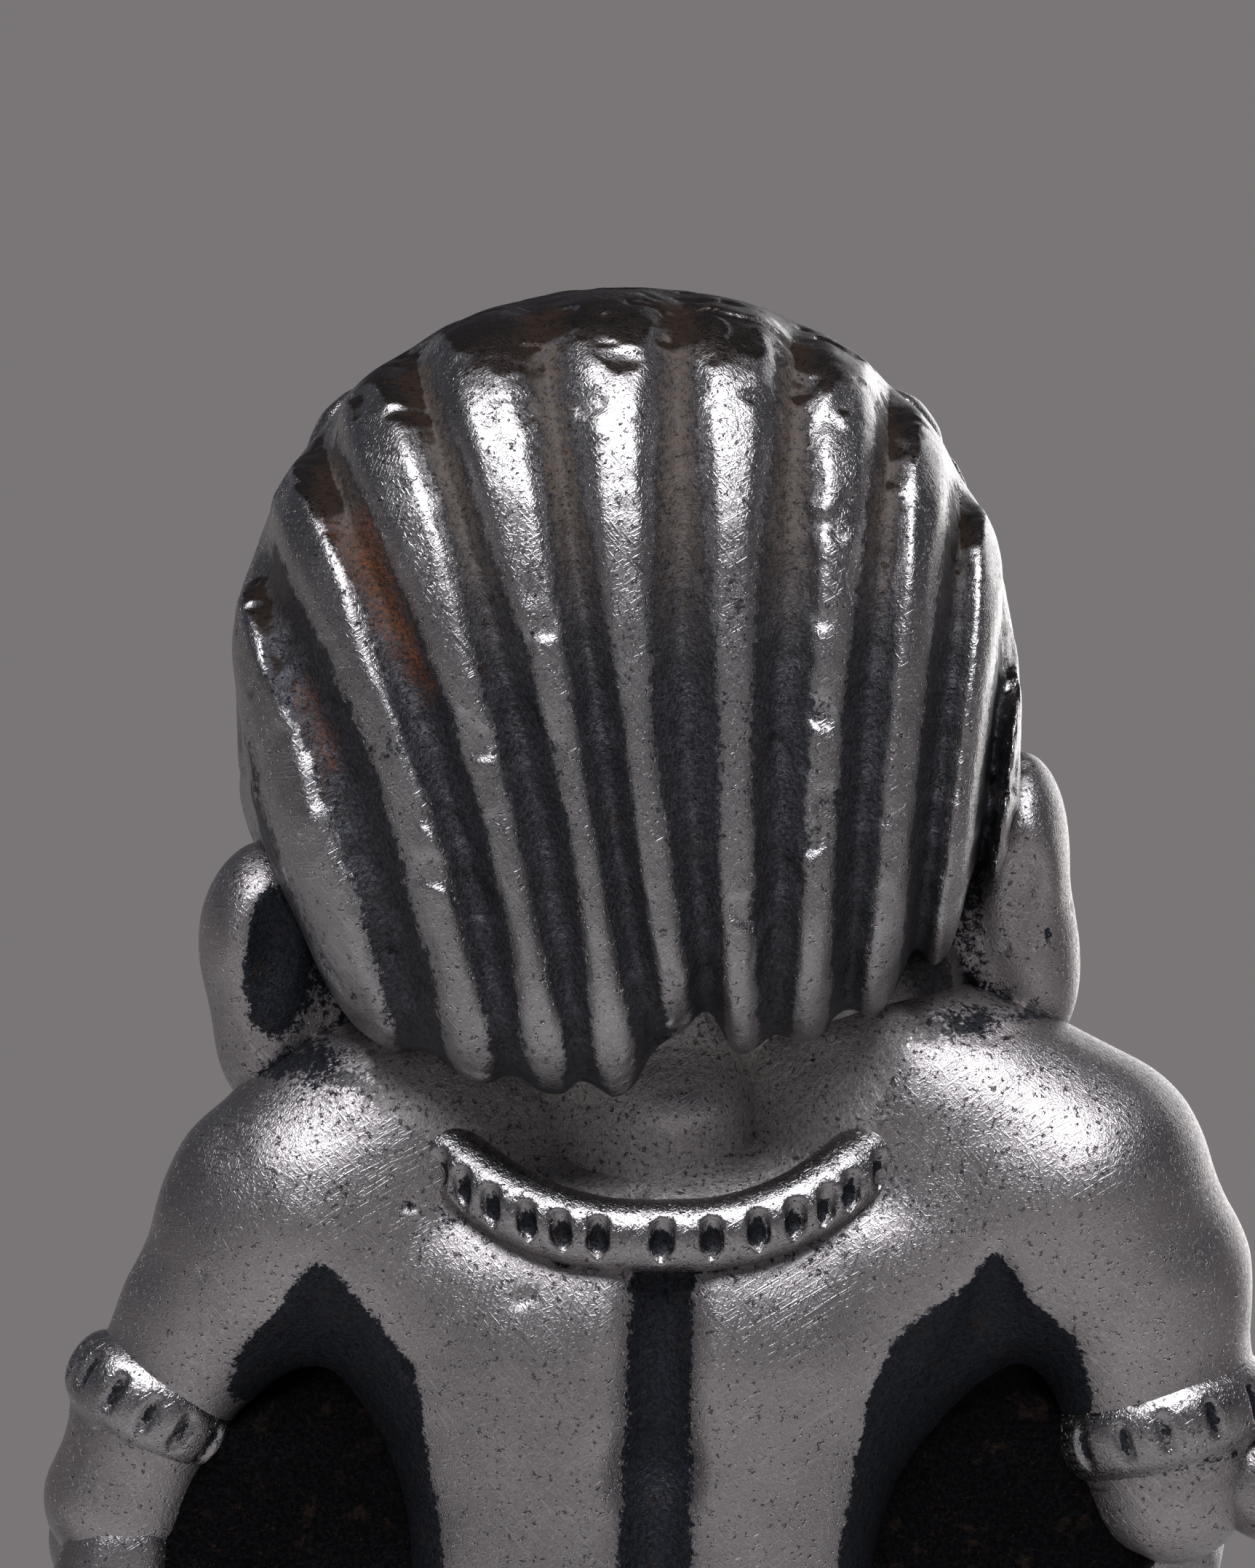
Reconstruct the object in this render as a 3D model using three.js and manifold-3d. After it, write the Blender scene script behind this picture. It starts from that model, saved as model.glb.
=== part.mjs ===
// A small cast-iron dancing deity on a double-lotus pedestal, as the castings, rings and pins that it is
// put together from. Millimetres, +Z up. The figure faces -Y, its right side is at -X, and the origin is
// the middle of the underside. The castings meet under the jewellery, where the rings hide the seams.

import * as THREE from 'three';
import { mergeVertices } from 'three/addons/utils/BufferGeometryUtils.js';
import Module from 'manifold-3d';

const wasm = await Module();
wasm.setup();

// Driving dimensions
const TOTAL_HEIGHT = 71; // underside to the crown of the hair
const HEAD_HEIGHT = 16.9; // crown to the lower edge of the hair at the nape
const HEAD_HALF_WIDTH = 8.5;
const HEAD_X = 0.7; // the head sits a little to the figure's left
const SOLE_Z = 17; // the standing foot's sole, on the dwarf's back
const PEDESTAL_HEIGHT = 12;
const PEDESTAL_HALF = new THREE.Vector2(15, 12); // half width and half depth of the plinth
const CLEARANCE = 0.15; // gap between a piece and the ones that it is fitted round
const SOCKET_GAP = 0.2; // gap round the tang, which lifts out of its socket

// Levels and half sizes that follow from them
const NAPE_Z = TOTAL_HEIGHT - HEAD_HEIGHT;
const HEAD_Z = NAPE_Z + 0.5 * HEAD_HEIGHT;
const NECKLACE = { z: NAPE_Z - 0.8, halfWidth: 5.3, halfDepth: 4.1, droop: 2.3, wire: 0.85 };
const SIDES = 9; // facets round a limb
const CAP_STEPS = 2; // facets from a limb's side to its tip

// ---- Solids from three.js geometry --------------------------------------------------------------

const point = ([x, y, z]) => new THREE.Vector3(x, y, z);

// A closed geometry as a manifold-3d solid, without the triangles that collapse at a pole.
function solid(geometry) {
  const bare = geometry.clone();
  bare.deleteAttribute('normal');
  bare.deleteAttribute('uv');
  const merged = mergeVertices(bare, 1e-4);
  const index = merged.index.array;
  const kept = [];
  for (let i = 0; i < index.length; i += 3) {
    const [a, b, c] = [index[i], index[i + 1], index[i + 2]];
    if (a !== b && b !== c && a !== c) kept.push(a, b, c);
  }
  return new wasm.Manifold(
    new wasm.Mesh({
      numProp: 3,
      vertProperties: merged.attributes.position.array,
      triVerts: new Uint32Array(kept),
    }),
  );
}

// Every vertex of a geometry moved by a function.
function shaped(geometry, move) {
  const at = geometry.attributes.position;
  const p = new THREE.Vector3();
  for (let i = 0; i < at.count; i += 1) {
    move(p.fromBufferAttribute(at, i));
    at.setXYZ(i, p.x, p.y, p.z);
  }
  return geometry;
}

const union = (solids) => wasm.Manifold.union(solids);

// An ellipsoid. grow thickens it all round, as it does for every shape below.
function blob(centre, radii, grow = 0, detail = 11) {
  const ball = new THREE.SphereGeometry(1, detail, Math.round(detail * 0.6));
  ball.rotateX(Math.PI / 2);
  ball.scale(...radii.map((r) => r + grow));
  ball.translate(...centre);
  return solid(ball);
}

// A rounded bar between two stations [x, y, z, radius].
function bar(from, to, grow, sides) {
  const [a, b] = [point(from), point(to)];
  const [ra, rb] = [from[3] + grow, to[3] + grow];
  const length = a.distanceTo(b);
  const slope = Math.asin(THREE.MathUtils.clamp((ra - rb) / length, -0.9, 0.9));
  const profile = [];
  for (let i = 0; i <= CAP_STEPS; i += 1) {
    const t = THREE.MathUtils.lerp(-Math.PI / 2, slope, i / CAP_STEPS);
    profile.push(new THREE.Vector2(i ? ra * Math.cos(t) : 0, ra * Math.sin(t)));
  }
  for (let i = 0; i <= CAP_STEPS; i += 1) {
    const t = THREE.MathUtils.lerp(slope, Math.PI / 2, i / CAP_STEPS);
    profile.push(new THREE.Vector2(i < CAP_STEPS ? rb * Math.cos(t) : 0, length + rb * Math.sin(t)));
  }
  const lathe = new THREE.LatheGeometry(profile, sides);
  const turn = new THREE.Quaternion().setFromUnitVectors(
    new THREE.Vector3(0, 1, 0),
    b.clone().sub(a).normalize(),
  );
  lathe.applyQuaternion(turn);
  lathe.translate(a.x, a.y, a.z);
  return solid(lathe);
}

// A limb through stations [x, y, z, radius].
function limb(stations, grow = 0, sides = SIDES) {
  return union(stations.slice(1).map((to, i) => bar(stations[i], to, grow, sides)));
}

// A ring of round wire about an axis. flat stretches the wire along the axis, into a band.
function ring(centre, axis, radius, wire, grow = 0, flat = 1, segments = 16) {
  const torus = new THREE.TorusGeometry(radius, wire + grow, 5, segments);
  torus.scale(1, 1, flat);
  torus.applyQuaternion(
    new THREE.Quaternion().setFromUnitVectors(new THREE.Vector3(0, 0, 1), point(axis).normalize()),
  );
  torus.translate(...centre);
  return solid(torus);
}

// An oval lathe about the Z axis from [radius, z] points, scaled in depth.
function ovalLathe(profile, depth, segments, centre = [0, 0]) {
  const lathe = new THREE.LatheGeometry(
    profile.map(([r, z]) => new THREE.Vector2(r, z)),
    segments,
  );
  lathe.rotateX(Math.PI / 2);
  lathe.scale(1, depth, 1);
  lathe.translate(centre[0], centre[1], 0);
  return lathe;
}

function box(low, high) {
  const size = high.map((h, i) => h - low[i]);
  const block = new THREE.BoxGeometry(...size);
  block.translate(...low.map((l, i) => l + size[i] / 2));
  return solid(block);
}

// ---- Fitting pieces together --------------------------------------------------------------------

const IRON = { color: 0x8c8784, roughness: 0.35, metalness: 1 };
const DARK_IRON = { color: 0x5a5754, roughness: 0.5, metalness: 1 };
const BRASS = { color: 0xb08d4f, roughness: 0.4, metalness: 1 };

const figure = new THREE.Group();
const placed = [];

const boxesMeet = (a, b) =>
  [0, 1, 2].every((i) => a.min[i] < b.max[i] && b.min[i] < a.max[i]);

// Adds a named piece. make(grow) gives its solid, thickened by grow. It is cut back from every piece placed
// before it, so each later piece is fitted round the earlier ones with a clearance.
function place(name, look, make) {
  let body = make(0);
  for (const other of placed) {
    if (!boxesMeet(body.boundingBox(), other.grown.boundingBox())) continue;
    body = body.subtract(other.grown);
  }
  const largest = body.decompose().sort((a, b) => b.volume() - a.volume())[0];
  placed.push({ name, grown: make(CLEARANCE) });
  const { vertProperties, triVerts } = largest.simplify(0.01).getMesh();
  const geometry = new THREE.BufferGeometry();
  geometry.setAttribute('position', new THREE.BufferAttribute(vertProperties, 3));
  geometry.setIndex(new THREE.BufferAttribute(triVerts, 1));
  geometry.computeVertexNormals();
  const mesh = new THREE.Mesh(geometry, new THREE.MeshStandardMaterial(look));
  mesh.name = name;
  figure.add(mesh);
}

// ---- Pedestal -----------------------------------------------------------------------------------

const PLINTH_TOP = 3.2;
const WAIST_Z = 6.9;
const PLATFORM_BOTTOM = PEDESTAL_HEIGHT - 1.3;
const DEPTH_RATIO = PEDESTAL_HALF.y / PEDESTAL_HALF.x;
const WALL = 1.6; // thickness of the hollow pedestal
const TANG_HALF = 2;
const TANG_BOTTOM = WAIST_Z + 0.6;
const PETALS = 14;
const PLATE_THICKNESS = 1;
const PLATE_RADIUS = PEDESTAL_HALF.x - 2.55;
const PIN_RADIUS = 0.55;

// The tang stands under the dwarf and drops into the pedestal's square socket.
place('tang', DARK_IRON, (grow) => {
  const gap = grow ? SOCKET_GAP : 0;
  const side = TANG_HALF + gap;
  return box([-side, -side, TANG_BOTTOM - gap], [side, side, PEDESTAL_HEIGHT + 1.8 + gap]);
});

// Brass pins are driven up through the base plate into the ledge inside the plinth.
const PIN_PLACES = [[8.4, 6.2], [-8.4, 6.2], [-8.4, -6.2], [8.4, -6.2]];
PIN_PLACES.forEach(([x, y], i) => {
  place(`base_pin_${i + 1}`, BRASS, (grow) => {
    const pin = new THREE.CylinderGeometry(PIN_RADIUS + grow, PIN_RADIUS + grow, 2.4 + 2 * grow, 10);
    pin.rotateX(Math.PI / 2);
    pin.translate(x, y, 1.2);
    return solid(pin);
  });
});

// A stepped oval foot, open in the middle, with a ledge inside for the base plate.
place('plinth', IRON, () => {
  const r = PEDESTAL_HALF.x;
  const rebate = PLATE_THICKNESS + CLEARANCE;
  const step = [
    [PLATE_RADIUS + CLEARANCE, 0], [r, 0], [r, 1.5], [r - 0.5, 2], [r - 0.5, 2.6], [r - 1.1, PLINTH_TOP],
    [PLATE_RADIUS - 2.3, PLINTH_TOP], [PLATE_RADIUS - 2.3, rebate], [PLATE_RADIUS + CLEARANCE, rebate],
    [PLATE_RADIUS + CLEARANCE, 0],
  ];
  return solid(ovalLathe(step, DEPTH_RATIO, 36));
});

// A row of petals: an oval cup whose wall bulges once for each petal.
function petalRow(narrowZ, wideZ, narrow, wide, bulge) {
  const up = wideZ > narrowZ;
  const steps = 4;
  const outside = [];
  for (let i = 0; i <= steps; i += 1) {
    const t = i / steps;
    const belly = narrow + (wide - narrow) * Math.sin((t * Math.PI) / 2);
    outside.push([belly, THREE.MathUtils.lerp(narrowZ, wideZ, t)]);
  }
  const inside = [
    [narrow - WALL, wideZ],
    [narrow - WALL, narrowZ],
  ];
  const loop = [...outside, ...inside, outside[0]];
  const cup = ovalLathe(up ? loop : loop.reverse(), DEPTH_RATIO, PETALS * 4);
  const height = Math.abs(wideZ - narrowZ);
  return solid(
    shaped(cup, (p) => {
      const across = Math.hypot(p.x, p.y / DEPTH_RATIO);
      if (across < narrow - 0.5 * WALL) return;
      const turn = Math.atan2(p.y / DEPTH_RATIO, p.x);
      const t = Math.abs(p.z - narrowZ) / height;
      const lobe = Math.abs(Math.cos((turn * PETALS) / 2));
      const swell = 1 + (bulge * (lobe - 0.35) * Math.sin(t * Math.PI * 0.85)) / across;
      p.x *= swell;
      p.y *= swell;
    }),
  );
}

place('lower_petals', IRON, () => petalRow(WAIST_Z - 0.7, PLINTH_TOP + 0.15, 10.8, 12.9, 1.5));

place('waist_bead_ring', IRON, () => {
  const torus = new THREE.TorusGeometry(10.7, 0.6, 6, 36);
  torus.scale(1, DEPTH_RATIO, 1);
  torus.translate(0, 0, WAIST_Z);
  return solid(torus);
});

place('upper_petals', IRON, () => petalRow(WAIST_Z + 0.7, PLATFORM_BOTTOM - 0.15, 10.8, 12.5, 1.5));

// The top of the pedestal: an oval deck with the tang's socket block under it.
place('platform', IRON, () => {
  const deck = [
    [0, PLATFORM_BOTTOM], [12.6, PLATFORM_BOTTOM], [13.1, PLATFORM_BOTTOM + 0.5],
    [12.8, PEDESTAL_HEIGHT], [0, PEDESTAL_HEIGHT],
  ];
  const block = TANG_HALF + 1.6;
  return union([
    solid(ovalLathe(deck, DEPTH_RATIO, 36)),
    box([-block, -block, WAIST_Z + 1], [block, block, PLATFORM_BOTTOM + 0.2]),
  ]);
});

place('base_plate', BRASS, () => {
  const r = PLATE_RADIUS;
  const edge = [[0, 0], [r, 0], [r, PLATE_THICKNESS], [0, PLATE_THICKNESS]];
  return solid(ovalLathe(edge, DEPTH_RATIO * 0.99, 36));
});

// ---- Dwarf under the standing foot --------------------------------------------------------------

const DECK = PEDESTAL_HEIGHT + CLEARANCE;

// The standing foot is dowelled to the dwarf's back.
place('foot_dowel', DARK_IRON, (grow) =>
  limb([[-3.5, -1, 15.4, 0.55], [-3.5, -1, 18, 0.55]], grow, 7),
);

place('dwarf_body', IRON, (grow) => {
  const back = blob([-0.8, 0, 14.6], [6.4, 4, 2.3], grow);
  const hips = blob([-6, 0.4, 14.5], [2.9, 3.2, 2.4], grow, 8);
  const shoulders = blob([4.4, -0.2, 14.5], [2.6, 3.6, 2.2], grow, 8);
  const legs = [
    limb([[-6.4, 1.8, 14, 1.5], [-10, 3.4, 13.7, 1.25], [-11.4, 0.6, 13.2, 0.95]], grow, 7),
    limb([[-6.4, -1.6, 14, 1.5], [-9.4, -4.2, 13.7, 1.2], [-11.2, -2.4, 13.2, 0.9]], grow, 7),
  ];
  const arms = [
    limb([[4.6, 2.6, 14, 1.1], [6.8, 4.8, 13.4, 0.95], [9.2, 4, 13, 0.85]], grow, 7),
    limb([[4.6, -3, 14, 1.1], [6.2, -5.4, 13.4, 0.95], [9, -5.2, 13, 0.85]], grow, 7),
  ];
  const above = box([-16, -12, DECK - grow], [16, 12, SOLE_Z + grow]);
  return union([back, hips, shoulders, ...legs, ...arms]).intersect(above);
});

place('dwarf_head', IRON, (grow) =>
  union([
    blob([9, -0.4, 15.3], [2.5, 2.6, 2.6], grow, 8),
    blob([9.2, -2.7, 14.9], [0.6, 0.8, 0.6], grow, 7),
  ]).intersect(box([0, -12, DECK - grow], [16, 12, 20])),
);

// ---- Legs ---------------------------------------------------------------------------------------

const HIP_Z = 33.6;
const RIGHT_KNEE = [-7.6, -4.2, 27.4];
const RIGHT_ANKLE = [-3.4, -0.6, 20.2];
const LEFT_KNEE = [7.8, -6, 31.2];
const LEFT_ANKLE = [0.6, -9.2, 27.2];

const direction = (from, to) => to.map((v, i) => v - from[i]);
const along = (from, to, t) => from.map((v, i) => THREE.MathUtils.lerp(v, to[i], t));

place('right_leg', IRON, (grow) =>
  limb([[-2.9, -0.2, HIP_Z, 3.4], [...RIGHT_KNEE, 2.35], [...RIGHT_ANKLE, 1.45]], grow),
);
place('left_leg', IRON, (grow) =>
  limb([[3, -0.8, HIP_Z, 3.4], [...LEFT_KNEE, 2.35], [...LEFT_ANKLE, 1.35]], grow),
);

// A foot: heel, instep and five toes that spread from the ball.
function foot(ankle, heel, ball, side, grow) {
  const outer = ball.map((v, k) => v - 0.7 * side[k]);
  const inner = ball.map((v, k) => v + 0.8 * side[k]);
  const length = Math.hypot(...direction(heel, ball));
  const ahead = direction(heel, ball).map((v) => v / length);
  const toes = [-1, -0.45, 0.05, 0.5, 0.92].map((s, i) => {
    const r = i === 0 ? 0.56 : 0.44;
    const reach = 1.75 - 0.16 * Math.abs(i - 0.6);
    const from = ball.map((v, k) => v + side[k] * s * 1.25);
    const to = from.map((v, k) => v + ahead[k] * reach - (k === 2 ? 0.25 : 0));
    return limb([[...from, r + 0.12], [...to, r]], grow, 5);
  });
  return union([
    limb([[...ankle, 1.2], [...heel, 1.15]], grow, 7),
    limb([[...ankle, 1.15], [...ball, 0.95]], grow, 7),
    limb([[...heel, 1.1], [...ball, 1.05]], grow, 6),
    limb([[...outer, 0.75], [...inner, 0.65]], grow, 6),
    ...toes,
  ]);
}

place('right_foot', IRON, (grow) =>
  foot([-3.4, -0.6, 19.6], [-3.1, 0.1, 18.2], [-5, -3.9, 18], [0.9, -0.42, 0], grow).intersect(
    box([-14, -14, SOLE_Z + CLEARANCE - grow], [8, 8, 24]),
  ),
);
place('left_foot', IRON, (grow) =>
  foot([0.3, -9.3, 27], [0.7, -9.9, 25.9], [-3.4, -9.7, 25], [-0.1, -0.95, 0.25], grow),
);

const anklet = (name, knee, ankle, lower, radius) =>
  place(name, IRON, (grow) =>
    ring(along(knee, ankle, lower), direction(knee, ankle), radius, 0.55, grow, 1.2),
  );
anklet('right_anklet', RIGHT_KNEE, RIGHT_ANKLE, 0.94, 1.75);
anklet('left_anklet', LEFT_KNEE, LEFT_ANKLE, 0.92, 1.65);

// ---- Necklace, head and torso -------------------------------------------------------------------

// Swells a sine or cosine, so that an oval comes out squarer.
const squared = (v) => Math.sign(v) * Math.abs(v) ** 0.8;

// The necklace hides the seam between the neck and the shoulders, which are fitted round it.
place('necklace', IRON, (grow) => {
  const torus = new THREE.TorusGeometry(3, 1, 8, 32);
  const { z, halfWidth, halfDepth, droop, wire } = NECKLACE;
  return solid(
    shaped(torus, (p) => {
      const turn = Math.atan2(p.y, p.x);
      const out = Math.hypot(p.x, p.y) - 3; // across the wire, from -1 to 1
      const along = p.z;
      const reach = out * (wire + grow);
      p.x = squared(Math.cos(turn)) * (halfWidth + reach);
      p.y = squared(Math.sin(turn)) * (halfDepth + reach) - 0.8;
      p.z = z - droop * Math.sin(turn) ** 2 + along * (wire + grow);
    }),
  );
});

// Upper arms: stations at the shoulder, under the armlet and at the end.
const LEFT_ARM = {
  shoulder: [7.8, 0.2, 50.6, 2.6],
  cuff: [11, 0, 46.9, 1.6],
  end: [11.5, -0.1, 45.9, 1.3],
};
const RIGHT_ARM = {
  shoulder: [-8.9, 0.3, 51.3, 2.9],
  cuff: [-10.9, 0.1, 46.6, 2],
  end: [-10.9, 0, 45.6, 1.7],
};

const FACE_Y = -7.4;

place('head', IRON, (grow) => {
  const skull = blob([HEAD_X, -1.4, HEAD_Z + 0.2], [6.3, 6.1, 6.6], grow, 16);
  const jaw = blob([HEAD_X, -3.2, HEAD_Z - 3.6], [4.8, 4, 3.7], grow);
  const chin = blob([HEAD_X, FACE_Y + 1.1, HEAD_Z - 6.1], [1.6, 1.3, 1.2], grow, 7);
  const nose = limb(
    [[HEAD_X, FACE_Y + 0.4, HEAD_Z + 0.9, 0.55], [HEAD_X, FACE_Y - 0.5, HEAD_Z - 1.9, 0.8]],
    grow,
    8,
  );
  const neck = limb([[0.3, -1.1, 50, 3.6], [0.5, -1.4, 57, 3.9]], grow, 12);
  return union([skull, jaw, chin, nose, neck]);
});

place('torso', IRON, (grow) => {
  const trunk = limb([[0.4, -0.6, 35.5, 5.3], [0.5, -0.5, 44, 4.8], [0.2, -0.2, 49.4, 4.9]], grow, 12);
  const belly = blob([0.4, -1.9, 40.6], [5, 4.6, 5.2], grow);
  const chest = blob([0, -1.5, 48.2], [7, 4.3, 3.9], grow, 12);
  const yoke = limb([LEFT_ARM.shoulder, [0, -0.2, 50, 3], RIGHT_ARM.shoulder], grow);
  const neckMuscles = limb([[8.4, 0, 51.6, 2], [0, -1, 54, 2.2], [-8.8, 0.1, 52.3, 2.2]], grow);
  const arms = [LEFT_ARM, RIGHT_ARM].map((arm) => limb([arm.shoulder, arm.cuff, arm.end], grow));
  const neckHollow = blob([0.3, 4.8, 54.6], [6, 3.4 - grow, 2.9 - grow]);
  return union([trunk, belly, chest, yoke, neckMuscles, ...arms]).subtract(neckHollow);
});

// Thin cast webs fill the space between each upper arm and the waist.
function web(side, outer) {
  const outline = new THREE.Shape();
  outline.moveTo(side * 3, 50);
  outline.lineTo(side * 8.4, 49.6);
  outline.lineTo(outer, 43.6);
  outline.quadraticCurveTo(side * 7.4, 41.8, side * 6.2, 36.6);
  outline.lineTo(side * 3, 36.6);
  outline.closePath();
  const plate = new THREE.ExtrudeGeometry(outline, { depth: 1, bevelEnabled: false, curveSegments: 6 });
  plate.rotateX(Math.PI / 2);
  plate.translate(0, 0.6, 0);
  return solid(plate);
}
place('left_web', DARK_IRON, () => web(1, 11.2));
place('right_web', DARK_IRON, () => web(-1, -10.6));

// ---- Hair, ears and diadem ----------------------------------------------------------------------

const HAIR_DEPTH = 0.82; // the hair's depth as a share of its width

// The swept-up hair: a fluted shell over the back and top of the skull.
place('hair', IRON, (grow) => {
  const w = HEAD_HALF_WIDTH + grow;
  const half = 0.5 * HEAD_HEIGHT + grow;
  const profile = [[0, HEAD_Z - half], [0.45 * w, HEAD_Z - 0.97 * half], [0.74 * w, HEAD_Z - 0.82 * half]];
  profile.push([0.92 * w, HEAD_Z - 0.55 * half], [w, HEAD_Z - 0.12 * half]);
  for (let i = 1; i <= 6; i += 1) {
    const t = (i / 6) * (Math.PI / 2);
    profile.push([i < 6 ? w * Math.cos(t) : 0, HEAD_Z + half * Math.sin(t)]);
  }
  const cap = ovalLathe(profile, HAIR_DEPTH, 48, [HEAD_X, -0.6]);
  const fluted = shaped(cap, (p) => {
    const [x, y] = [p.x - HEAD_X, p.y + 0.6];
    const across = Math.hypot(x, y);
    if (across < 0.5) return;
    const flute = 1 - 0.035 * Math.sin(Math.atan2(y, x) * 12) ** 2;
    p.x = HEAD_X + x * flute;
    p.y = -0.6 + y * flute;
  });
  const faceWindow = box([-12, -12, 40], [12, -2.6 - grow, HEAD_Z + 4.2 - grow]);
  return solid(fluted).subtract(faceWindow);
});

const EARS = {
  left: { top: [8, -1.6, 58.4, 1.25], lobe: [8.3, -1.7, 54.6, 1] },
  right: { top: [-6.6, -1.6, 59.6, 1.2], lobe: [-7.5, -1.7, 55.8, 0.95] },
};
for (const [side, ear] of Object.entries(EARS)) {
  place(`${side}_ear`, IRON, (grow) => limb([ear.top, ear.lobe], grow, 8));
}

// A fillet across the brow, in the corner under the hair, with five leaves that lean back against the hair.
place('diadem', IRON, (grow) => {
  const turns = [-60, -30, 0, 30, 60];
  const band = new THREE.TorusGeometry(7.3, 0.7 + grow, 6, 28);
  band.scale(1, 1, 1.2);
  const front = box([-12, -14, -5], [12, -2.4 + grow, 5]);
  const leaves = turns.map((turn) => {
    const tall = 1.9 - Math.abs(turn) / 100;
    const leaf = new THREE.SphereGeometry(1, 7, 5);
    leaf.scale(1.2 + grow, 0.6 + grow, tall + grow);
    leaf.translate(0, 0, 0.7 * tall);
    leaf.rotateX(-0.5);
    leaf.translate(0, -7.5, 0.3);
    leaf.rotateZ(THREE.MathUtils.degToRad(turn));
    return solid(leaf);
  });
  return union([solid(band).intersect(front), ...leaves])
    .scale([1, 0.86, 1])
    .translate([HEAD_X, -0.7, HEAD_Z + 4]);
});

// ---- Jewellery and cloth ------------------------------------------------------------------------

const armlet = (name, arm, radius) =>
  place(name, IRON, (grow) =>
    ring(arm.cuff.slice(0, 3), direction(arm.shoulder, arm.end).slice(0, 3), radius, 0.5, grow, 1.7),
  );
armlet('left_armlet', LEFT_ARM, 1.8);
armlet('right_armlet', RIGHT_ARM, 2.2);

place('girdle', IRON, (grow) => {
  const torus = new THREE.TorusGeometry(5.55, 0.75 + grow, 6, 24);
  torus.scale(1, 0.97, 1.25);
  torus.translate(0.4, -0.7, 37.6);
  return solid(torus);
});
place('girdle_clasp', IRON, (grow) => blob([0.4, -7, 37.5], [1.5, 0.8, 1.4], grow, 8));

// A short cloth round the hips, from the girdle to mid-thigh.
place('loincloth', IRON, (grow) => {
  const cloth = [[0, 29.4], [5.2, 29.2], [7, 29.8], [7.3, 32], [6.6, 35], [5.9, 36.5], [0, 36.5]];
  const grown = cloth.map(([r, z]) => [r && r + grow, z + (z > 33 ? grow : -grow)]);
  return solid(ovalLathe(grown, 0.84, 24, [0.2, -0.8]));
});
place('girdle_tassel', IRON, (grow) =>
  limb([[0.4, -7.1, 35.8, 0.6], [0.3, -7.6, 32.4, 0.7], [0.1, -7.3, 30.6, 0.85]], grow, 7),
);

// ---- Forearms, bracelets and hands --------------------------------------------------------------

const FOREARMS = {
  left_front: [[11.6, -0.5, 45.2, 1.5], [11.8, -1.5, 43.5, 1.6], [5.4, -8.4, 41.4, 1.05]],
  left_rear: [[11.6, 0.2, 44, 1.35], [12.3, 0.3, 41.6, 1.35], [18, -0.8, 41.2, 0.95]],
  right_front: [[-10.6, -0.4, 44.9, 1.6], [-10.7, -1.3, 43.3, 1.75], [-8.6, -7.6, 44.6, 1.1]],
  right_rear: [[-11.9, 0.3, 45.9, 1.25], [-13.6, 0.4, 45, 1.35], [-18.6, -0.8, 45.6, 0.95]],
};
for (const [arm, stations] of Object.entries(FOREARMS)) {
  const [elbow, wrist] = stations.slice(1).map((s) => s.slice(0, 3));
  place(`${arm}_forearm`, IRON, (grow) => limb(stations, grow, 8));
  place(`${arm}_bracelet`, IRON, (grow) =>
    ring(along(elbow, wrist, 0.9), direction(elbow, wrist), 1.25, 0.42, grow, 1.4),
  );
}

// A hand: a flat palm, four fingers that start across its far edge, and a thumb. ahead runs from the wrist
// to the knuckles, across from the little finger to the thumb, and curl bends the fingers towards the palm's
// face.
function hand(wrist, ahead, across, curl, grow) {
  const [a, s] = [point(ahead).normalize(), point(across).normalize()];
  const palmFace = a.clone().cross(s).multiplyScalar(curl);
  const spot = (forward, sideways, inward, r) => {
    const p = point(wrist).addScaledVector(a, forward).addScaledVector(s, sideways);
    return [...p.addScaledVector(palmFace, inward).toArray(), r];
  };
  const fingers = [-0.95, -0.32, 0.32, 0.95].map((sideways, i) => {
    const reach = 4.4 - 0.28 * Math.abs(i - 1.6);
    const bend = Math.abs(curl) > 1 ? 1.2 : 0;
    return limb([spot(2, sideways, 0, 0.45), spot(reach - bend * 1.1, sideways, bend, 0.34)], grow, 5);
  });
  return union([
    limb([spot(0, 0, 0, 0.85), spot(2.1, -0.5, 0, 0.55)], grow, 6),
    limb([spot(0, 0, 0, 0.85), spot(2.1, 0.5, 0, 0.55)], grow, 6),
    limb([spot(0.6, 0.7, 0.1, 0.5), spot(2.5, 1.7, 0.45, 0.36)], grow, 5),
    ...fingers,
  ]);
}

place('right_front_hand', IRON, (grow) => hand([-8.5, -8, 45.3], [-0.02, -0.1, 1], [1, 0, 0], -0.6, grow));
place('left_front_hand', IRON, (grow) =>
  hand([4.9, -8.9, 41.2], [-0.75, -0.35, -0.7], [-0.6, 0.1, 0.6], 0.6, grow),
);
place('left_rear_hand', IRON, (grow) =>
  hand([18.5, -0.9, 41.8], [0.35, -0.1, 1], [0.2, -1, 0], -1.1, grow),
);
place('right_rear_hand', IRON, (grow) =>
  hand([-19, -0.9, 46.1], [-0.3, -0.1, 1], [-0.2, -1, 0], 1.1, grow),
);

// ---- What the rear hands hold -------------------------------------------------------------------

// An hourglass drum, held by its waist.
place('drum', IRON, () => {
  const half = 2.5;
  const profile = [
    [0, -half], [1.75, -half], [1.95, -half + 0.3], [1.7, -half + 0.8], [0.75, -0.2],
    [0.75, 0.2], [1.7, half - 0.8], [1.95, half - 0.3], [1.75, half], [0, half],
  ];
  const lathe = new THREE.LatheGeometry(profile.map(([r, y]) => new THREE.Vector2(r, y)), 16);
  lathe.rotateZ(Math.PI / 2 - 0.3);
  lathe.translate(-18.7, -1.6, 50.3);
  return solid(lathe);
});

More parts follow.
